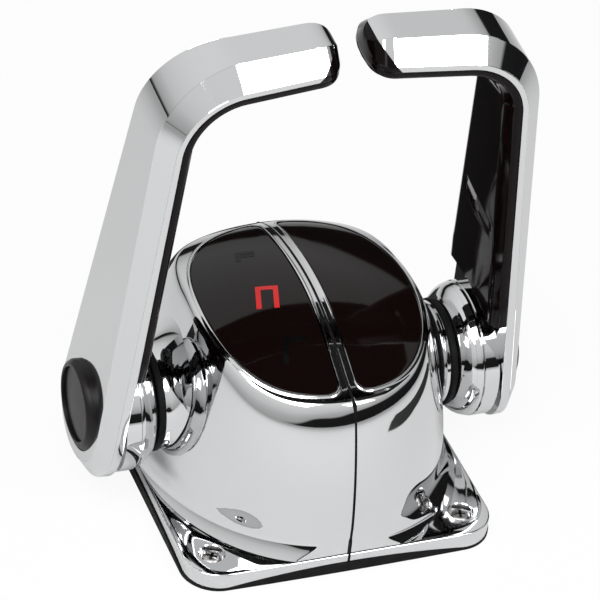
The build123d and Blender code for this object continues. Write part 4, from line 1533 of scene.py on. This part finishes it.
@dataclass
class DeckScrews:
    """The four pan-head screws of the base, placed by a node tree."""

    across: float = 120.0
    along: float = 130.0
    seat: float = 5.2
    radius: float = 4.5
    height: float = 3.2
    shank: tuple[Point2, ...] = ((0, 0.4), (2.2, 0.4), (2.5, 0.9), (2.5, 5.2))
    head_turns: tuple[float, ...] = (12, 30, 48, 66, 80, 90)
    head_edge: float = 0.5
    head_power: float = 0.8
    recess: tuple[float, float, float] = (5.6, 1.3, 1.6)
    recess_draft: float = 0.72
    recess_rim: float = 0.62
    recess_reach: float = 0.56
    seed: int = 11

    def one(self, palette: Palette) -> bpy.types.Object:
        """Make a single screw at the origin with painted shade in its cross recess.

        Args:
            palette: the built finishes.

        Returns:
            The screw, dressed in two finishes.
        """
        top = self.seat + self.height
        profile = [*self.shank, (self.radius, self.seat)]
        for angle in np.radians(self.head_turns):
            level = self.seat + self.head_edge + (self.height - self.head_edge) * math.sin(angle)
            profile.append((self.radius * math.cos(angle) ** self.head_power, level))
        screw = revolved("deck_screw", profile, 64)
        length, width, depth = self.recess
        for long_way in (True, False):
            half = np.array([length, width] if long_way else [width, length]) / 2
            shrink = np.array([self.recess_draft, 1.0] if long_way else [1.0, self.recess_draft])
            low, high = half * shrink, half * 1.05
            corners = []
            for size, level in ((low, top - depth), (high, top + 0.5)):
                corners += [(x * size[0], y * size[1], level) for x, y in ((-1, -1), (1, -1), (1, 1), (-1, 1))]
            sides = [(0, 3, 2, 1), (4, 5, 6, 7), (0, 1, 5, 4), (1, 2, 6, 5), (2, 3, 7, 6), (3, 0, 4, 7)]
            cut_away(screw, mesh_object("cross", np.array(corners), sides))
        finish_mesh(screw)
        palette.dress(screw, Surface.STAINLESS)
        # Faces deep inside the cross recess get the near-black finish: painted shade, not the screw's own colour.
        screw.data.materials.append(palette.materials[Surface.SHADOW])
        for face in screw.data.polygons:
            across, along, level = (value / MM for value in face.center)
            inside = math.hypot(across, along) < length * self.recess_reach
            face.material_index = int(inside and top - depth - 0.1 < level < top - self.recess_rim)
        return screw

    def tree(self, material: bpy.types.Material) -> bpy.types.NodeTree:
        """Node tree that puts the incoming screw on the corners of a rectangle.

        Args:
            material: finish of the screws' stainless faces; their recesses keep their near-black painted shade.

        Returns:
            The tree, with inputs Across, Along and Seed.
        """
        tree = bpy.data.node_groups.new("screws_on_corners", "GeometryNodeTree")
        face = tree.interface
        face.new_socket(name="Geometry", in_out="INPUT", socket_type="NodeSocketGeometry")
        socket(tree, "Across", "INPUT", "NodeSocketFloat", self.across * MM)
        socket(tree, "Along", "INPUT", "NodeSocketFloat", self.along * MM)
        face.new_socket(name="Seed", in_out="INPUT", socket_type="NodeSocketInt")
        face.new_socket(name="Geometry", in_out="OUTPUT", socket_type="NodeSocketGeometry")
        make, link = tree.nodes.new, tree.links.new
        given, result = make("NodeGroupInput"), make("NodeGroupOutput")
        corners, place = make("GeometryNodeMeshGrid"), make("GeometryNodeInstanceOnPoints")
        corners.inputs["Vertices X"].default_value = 2
        corners.inputs["Vertices Y"].default_value = 2
        turn, compose = make("FunctionNodeRandomValue"), make("ShaderNodeCombineXYZ")
        turn.data_type = "FLOAT"
        turn.inputs[3].default_value = math.pi / 2
        real, paint = make("GeometryNodeRealizeInstances"), make("GeometryNodeSetMaterial")
        bright = make("GeometryNodeMaterialSelection")
        bright.inputs["Material"].default_value = material
        paint.inputs["Material"].default_value = material
        link(bright.outputs["Selection"], paint.inputs["Selection"])
        link(given.outputs["Across"], corners.inputs["Size X"])
        link(given.outputs["Along"], corners.inputs["Size Y"])
        link(corners.outputs["Mesh"], place.inputs["Points"])
        link(given.outputs["Geometry"], place.inputs["Instance"])
        link(given.outputs["Seed"], turn.inputs["Seed"])
        link(turn.outputs[1], compose.inputs["Z"])
        link(compose.outputs["Vector"], place.inputs["Rotation"])
        link(place.outputs["Instances"], real.inputs["Geometry"])
        link(real.outputs["Geometry"], paint.inputs["Geometry"])
        link(paint.outputs["Geometry"], result.inputs["Geometry"])
        return tree

    def build(self, palette: Palette) -> bpy.types.Object:
        """Make the four dressed screws as one piece.

        Args:
            palette: the built finishes.

        Returns:
            The screws.
        """
        screws = self.one(palette)
        spread = screws.modifiers.new("corners", "NODES")
        spread.node_group = self.tree(palette.materials[Surface.STAINLESS])
        for item in spread.node_group.interface.items_tree:
            if item.in_out == "INPUT" and item.name == "Seed":
                spread[item.identifier] = self.seed
        apply_modifiers(screws)
        screws.name = "deck_screws"
        return screws


class Letter(Enum):
    """Centre lines of a letter's strokes, in a box from 0 to 1 across and up."""

    F = (((0, 0), (0, 1)), ((0, 1), (1, 1)), ((0, 0.5), (1, 0.5)))
    N = (((0, 0), (0, 1)), ((0, 1), (1, 1)), ((1, 1), (1, 0)))
    R = (((0, 0), (0, 1)), ((0, 1), (1, 1)))


@dataclass(frozen=True)
class Mark:
    """One letter's outer corners in plan, lower left, upper left and upper right, and its finish."""

    letter: Letter
    foot: Point2
    head: Point2
    right: Point2
    surface: Surface


@dataclass
class GearMarks:
    """Plain block letters for forward, neutral and reverse on the left-hand panel."""

    shape: DomeShape
    stroke: float = 2.3
    lift: float = 0.06
    sunk: float = 0.2
    step: float = 0.75
    marks: tuple[Mark, ...] = (
        Mark(Letter.F, (-26.0, 23.4), (-23.9, 30.6), (-15.5, 28.4), Surface.SHADOW),
        Mark(Letter.N, (-28.2, -11.2), (-24.6, 1.9), (-14.8, -0.8), Surface.RED),
        Mark(Letter.R, (-24.8, -40.4), (-22.1, -29.4), (-11.8, -30.2), Surface.SHADOW),
    )

    def lay(self, mark: Mark, palette: Palette) -> bpy.types.Object:
        """Lay one letter on the crown.

        Args:
            mark: the letter and its place.
            palette: the built finishes.

        Returns:
            The dressed letter, a thin closed piece.
        """
        foot, head, right = (np.array(corner) for corner in (mark.foot, mark.head, mark.right))
        up, across = head - foot, right - head
        up_inset, across_inset = (axis / np.linalg.norm(axis) * self.stroke / 2 for axis in (up, across))
        start = foot + across_inset + up_inset
        up, across = up - 2 * up_inset, across - 2 * across_inset
        bars = [self.bar(*(start + across * x + up * y for x, y in stroke)) for stroke in mark.letter.value]
        piece = join(f"mark_{mark.letter.name.lower()}", bars)
        palette.dress(piece, mark.surface)
        return piece

    def bar(self, start: np.ndarray, stop: np.ndarray) -> bpy.types.Object:
        """One stroke as a thin closed strip that follows the crown.

        Args:
            start: plan place of the centre line's start.
            stop: plan place of its end.

        Returns:
            The strip.
        """
        along = (stop - start) / np.linalg.norm(stop - start)
        side = np.array([-along[1], along[0]]) * self.stroke / 2
        start, stop = start - along * self.stroke / 2, stop + along * self.stroke / 2
        count = max(int(np.linalg.norm(stop - start) / self.step), 2)
        rows = []
        for share in np.linspace(0, 1, count + 1):
            middle = start + (stop - start) * share
            plan = np.array([middle - side, middle, middle + side])
            top = self.shape.crown(plan[:, 0], plan[:, 1])
            upper = np.column_stack([plan, top + self.lift])
            lower = np.column_stack([plan, top - self.sunk])
            rows.append(np.concatenate([upper, lower[::-1]]))
        faces = grid_faces(len(rows), 6, True)
        faces += [(0, 1, 2, 3, 4, 5), tuple((len(rows) - 1) * 6 + i for i in range(5, -1, -1))]
        piece = mesh_object("bar", np.concatenate(rows), faces)
        finish_mesh(piece, sharp_angle=40.0, merge=0.0)
        return piece

    def build(self, palette: Palette) -> list[bpy.types.Object]:
        """Make every letter."""
        return [self.lay(mark, palette) for mark in self.marks]


# ------------------------------------------------------------------ studio
def matt_material(name: str, shade: float) -> bpy.types.Material:
    """Make a rough grey material.

    Args:
        name: the material's name.
        shade: its grey.

    Returns:
        The material.
    """
    material = bpy.data.materials.new(name)
    material.use_nodes = True
    shader = material.node_tree.nodes["Principled BSDF"]
    shader.inputs["Base Color"].default_value = (shade, shade, shade, 1)
    shader.inputs["Roughness"].default_value = 0.9
    return material


@dataclass(frozen=True)
class Card:
    """Plain dark card that only mirrors see, in millimetres."""

    name: str
    middle: Point
    size: Point2
    facing: Point
    shade: float

    def stand(self) -> None:
        """Put the card up beside the object."""
        width, height = self.size[0] / 2, self.size[1] / 2
        corners = np.array([(-width, -height, 0), (width, -height, 0), (width, height, 0), (-width, height, 0)])
        card = mesh_object(self.name, corners, [(0, 1, 2, 3)])
        turn = Vector(self.facing).to_track_quat("Z", "Y").to_matrix().to_4x4()
        card.data.transform(Matrix.Translation(Vector(self.middle) * MM) @ turn)
        card.data.materials.append(matt_material(self.name, self.shade))
        card.visible_camera = card.visible_diffuse = card.visible_shadow = False


@dataclass(frozen=True)
class Lamp:
    """Soft rectangular lamp, in millimetres and watts."""

    name: str
    place: Point
    size: Point2
    power: float
    aim: Point

    def hang(self) -> None:
        """Hang the lamp and turn it to its aim."""
        data = bpy.data.lights.new(self.name, "AREA")
        data.shape = "RECTANGLE"
        data.size, data.size_y = self.size[0] * MM, self.size[1] * MM
        data.energy = self.power
        lamp = bpy.data.objects.new(self.name, data)
        bpy.context.scene.collection.objects.link(lamp)
        lamp.location = Vector(self.place) * MM
        lamp.rotation_euler = (Vector(self.aim) - Vector(self.place)).to_track_quat("-Z", "Y").to_euler()


@dataclass
class Studio:
    """Pale floor, soft lamps, dark cards beside the view, and the camera."""

    azimuth: float = 24.2
    elevation: float = 37.2
    roll: float = 6.8
    distance: float = 1800.0
    focal: float = 3960.0
    frame_size: float = 600.0
    target: Point = (0.0, -5.0, 50.0)
    target_pixel: Point2 = (300.5, 380.5)
    sensor: float = 36.0
    ambient: float = 0.45
    room_scale: float = 1.6
    room_waves: float = 0.30
    room_lean: Point = (-0.30, 0.0, 1.0)
    room_detail: float = 0.5
    room_bottom: Point = (0.012, 0.012, 0.013)
    room_top: Point = (0.95, 0.95, 0.95)
    room_levels: tuple[Point2, ...] = ((0.30, 0.015), (0.34, 0.45), (0.55, 0.72))
    floor_reach: float = 3000.0
    floor_drop: float = 0.05
    floor_shade: float = 0.86
    floor_glow: Point2 = (0.92, 0.10)
    clip: Point2 = (0.05, 20.0)
    lamps: tuple[Lamp, ...] = (
        Lamp("key", (-500, -500, 1100), (700, 700), 9.0, (0, 0, 80)),
        Lamp("fill", (400, -640, 800), (440, 300), 3.2, (0, 0, 200)),
    )
    cards: tuple[Card, ...] = (
        Card("right_card", (285, -110, 1), (110, 280), (0, 0, 1), 0.01),
        Card("top_card", (200, 45, 900), (1300, 690), (0, 0, -1), 0.006),
        Card("rear_card", (5, 225, 1), (150, 240), (0, 0, 1), 0.01),
    )

    def ray_mask(self, tree: bpy.types.NodeTree, seen: float, mirrored: float) -> bpy.types.NodeSocket:
        """Mask that has one value for camera rays and another for mirror and glass rays.

        Args:
            tree: the material's or world's tree.
            seen: value for camera rays.
            mirrored: value for glossy and transmission rays.

        Returns:
            The mask's socket.
        """
        nodes, links = tree.nodes, tree.links
        path, either = nodes.new("ShaderNodeLightPath"), nodes.new("ShaderNodeMath")
        either.operation = "MAXIMUM"
        links.new(path.outputs["Is Glossy Ray"], either.inputs[0])
        links.new(path.outputs["Is Transmission Ray"], either.inputs[1])
        dim, bright = nodes.new("ShaderNodeMath"), nodes.new("ShaderNodeMath")
        dim.operation, bright.operation = "MULTIPLY", "MULTIPLY_ADD"
        dim.inputs[1].default_value, bright.inputs[1].default_value = mirrored, seen
        links.new(either.outputs["Value"], dim.inputs[0])
        links.new(path.outputs["Is Camera Ray"], bright.inputs[0])
        links.new(dim.outputs["Value"], bright.inputs[2])
        return bright.outputs["Value"]

    def room(self, tree: bpy.types.NodeTree) -> bpy.types.NodeSocket:
        """Colour of the room in mirrors: dark low walls, then a pale ceiling.

        Args:
            tree: the world's tree.

        Returns:
            The colour's socket.
        """
        nodes, links = tree.nodes, tree.links
        place, rise = nodes.new("ShaderNodeTexCoord"), nodes.new("ShaderNodeVectorMath")
        rise.operation = "DOT_PRODUCT"
        rise.inputs[1].default_value = self.room_lean
        waves, bend = nodes.new("ShaderNodeTexNoise"), nodes.new("ShaderNodeMath")
        waves.inputs["Scale"].default_value = self.room_scale
        waves.inputs["Detail"].default_value = self.room_detail
        bend.operation = "MULTIPLY_ADD"
        bend.inputs[1].default_value = self.room_waves
        ramp = nodes.new("ShaderNodeValToRGB")
        stops = ramp.color_ramp.elements
        stops[0].position, stops[0].color = 0.0, (*self.room_bottom, 1)
        stops[1].position, stops[1].color = 1.0, (*self.room_top, 1)
        for position, level in self.room_levels:
            stops.new(position).color = (level, level, level, 1)
        links.new(place.outputs["Generated"], rise.inputs[0])
        links.new(place.outputs["Generated"], waves.inputs["Vector"])
        links.new(waves.outputs["Fac"], bend.inputs[0])
        links.new(rise.outputs["Value"], bend.inputs[2])
        links.new(bend.outputs["Value"], ramp.inputs["Fac"])
        return ramp.outputs["Color"]

    def world(self) -> None:
        """White surroundings for the eye, a studio room for mirrors, and soft light."""
        world = bpy.data.worlds.new("studio")
        bpy.context.scene.world = world
        world.use_nodes = True
        tree = world.node_tree
        tree.nodes.clear()
        make, link = tree.nodes.new, tree.links.new
        out, lit, eye = make("ShaderNodeOutputWorld"), make("ShaderNodeMixShader"), make("ShaderNodeMixShader")
        lamp, white, room = (make("ShaderNodeBackground") for _ in range(3))
        for background in (lamp, white):
            background.inputs["Color"].default_value = (1, 1, 1, 1)
        lamp.inputs["Strength"].default_value = self.ambient
        link(self.room(tree), room.inputs["Color"])
        link(self.ray_mask(tree, 0.0, 1.0), lit.inputs["Fac"])
        link(lamp.outputs["Background"], lit.inputs[1])
        link(room.outputs["Background"], lit.inputs[2])
        link(self.ray_mask(tree, 1.0, 0.0), eye.inputs["Fac"])
        link(lit.outputs["Shader"], eye.inputs[1])
        link(white.outputs["Background"], eye.inputs[2])
        link(eye.outputs["Shader"], out.inputs["Surface"])

    def floor(self) -> None:
        """Pale floor that keeps the soft shadow."""
        reach = self.floor_reach
        corners = np.array([(-reach, -reach, 0), (reach, -reach, 0), (reach, reach, 0), (-reach, reach, 0)])
        floor = mesh_object("floor", corners - np.array([0, 0, self.floor_drop]), [(0, 1, 2, 3)])
        material = bpy.data.materials.new("pale_floor")
        material.use_nodes = True
        tree = material.node_tree
        tree.nodes.clear()
        out, mix = tree.nodes.new("ShaderNodeOutputMaterial"), tree.nodes.new("ShaderNodeMixShader")
        matt, glow = tree.nodes.new("ShaderNodeBsdfDiffuse"), tree.nodes.new("ShaderNodeEmission")
        matt.inputs["Color"].default_value = (self.floor_shade, self.floor_shade, self.floor_shade, 1)
        glow.inputs["Color"].default_value = (1, 1, 1, 1)
        tree.links.new(self.ray_mask(tree, *self.floor_glow), mix.inputs["Fac"])
        tree.links.new(matt.outputs["BSDF"], mix.inputs[1])
        tree.links.new(glow.outputs["Emission"], mix.inputs[2])
        tree.links.new(mix.outputs["Shader"], out.inputs["Surface"])
        floor.data.materials.append(material)

    def camera(self) -> None:
        """Set the camera at its fitted place."""
        turn, tilt, roll = (math.radians(angle) for angle in (self.azimuth, self.elevation, self.roll))
        back = Vector((-math.sin(turn) * math.cos(tilt), -math.cos(turn) * math.cos(tilt), math.sin(tilt)))
        level = Vector((math.cos(turn), -math.sin(turn), 0))
        upright = back.cross(level)
        right = level * math.cos(roll) + upright * math.sin(roll)
        up = upright * math.cos(roll) - level * math.sin(roll)
        shift = self.distance / self.focal
        middle = self.frame_size / 2
        place = Vector(self.target) + back * self.distance
        place -= right * ((self.target_pixel[0] - middle) * shift)
        place += up * ((self.target_pixel[1] - middle) * shift)
        data = bpy.data.cameras.new("view")
        data.sensor_fit, data.sensor_width = "HORIZONTAL", self.sensor
        data.lens = self.sensor * self.focal / self.frame_size
        data.clip_start, data.clip_end = self.clip
        camera = bpy.data.objects.new("view", data)
        bpy.context.scene.collection.objects.link(camera)
        camera.matrix_world = Matrix.Translation(place * MM) @ Matrix((right, up, back)).transposed().to_4x4()
        bpy.context.scene.camera = camera

    def build(self) -> None:
        """Set up the whole studio."""
        self.world()
        self.floor()
        self.camera()
        for lamp in self.lamps:
            lamp.hang()
        for card in self.cards:
            card.stand()
        bpy.context.scene.view_settings.view_transform = "Standard"


# ------------------------------------------------------------------ assembly
FRAME_FINISHES = {
    "base_gasket": Surface.RUBBER,
    "centre_seal": Surface.RUBBER,
    "frame_screws": Surface.STAINLESS,
    "mechanism_frame": Surface.CAST,
    "shaft_bushing": Surface.ACETAL,
    "gear_axles": Surface.STEEL,
    "lever_shaft": Surface.STEEL,
    "shaft_clip": Surface.STEEL,
    "shaft_nut": Surface.STAINLESS,
    "drive_gear": Surface.GEAR,
    "shift_gear": Surface.GEAR,
    "throttle_gear": Surface.GEAR,
    "shift_arm": Surface.STEEL,
    "throttle_arm": Surface.STEEL,
}


def install(piece: bpy.types.Object, body: str, slot: str, *nodes: str) -> None:
    """Put a finished piece on its body in place of the frame's nodes.

    Args:
        piece: the finished piece.
        body: the body it rides on.
        slot: not used.
        nodes: nodes it stands for.
    """
    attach(piece, body)
    if nodes:
        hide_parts(*nodes)
    log.info("%s: %d faces on %s", piece.name, len(piece.data.polygons), body)


def dress_frame(palette: Palette) -> None:
    """Give every node that stays visible its finish.

    Args:
        palette: the built finishes.
    """
    for name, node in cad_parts.items():
        plain = name.split("_", 1)[1] if name.startswith(("left_", "right_")) else name
        if plain in FRAME_FINISHES:
            palette.dress(node, FRAME_FINISHES[plain])
            log.info("%s: %s", name, FRAME_FINISHES[plain].value.name)


def main() -> None:
    """Build every sub-assembly in order."""
    palette = Palette()
    dress_frame(palette)
    shape, panel = DomeShape(), PanelShape()
    for side in Side:
        word = side.word
        install(DomeHalf(side, shape, panel).build(palette), "base", "chrome", f"{word}_housing")
        install(TopPanel(side, shape, panel).build(palette), "base", "panel", f"{word}_top_panel")
        lever = Lever(side, LeverForm())
        install(lever.shell(palette), f"{word}_lever", "chrome", f"{word}_lever_shell")
        install(lever.trim(palette), f"{word}_lever", "trim", f"{word}_lever_trim")
        install(lever.screw(palette), f"{word}_lever", "screw", f"{word}_trim_screw")
        hub = HubStack(side)
        install(hub.seal(palette), "base", "rubber", f"{word}_hub_seal")
        install(hub.cone(palette), f"{word}_lever", "chrome", f"{word}_hub_cone")
        install(hub.bezel(palette), f"{word}_lever", "bezel", f"{word}_button_bezel")
        install(hub.button(palette), f"{word}_button", "button", f"{word}_neutral_button")
    install(DeckScrews().build(palette), "base", "screw", "base_screws")
    for mark in GearMarks(shape).build(palette):
        install(mark, "base", "panel")
    Studio().build()


if __name__ == "__main__":
    main()
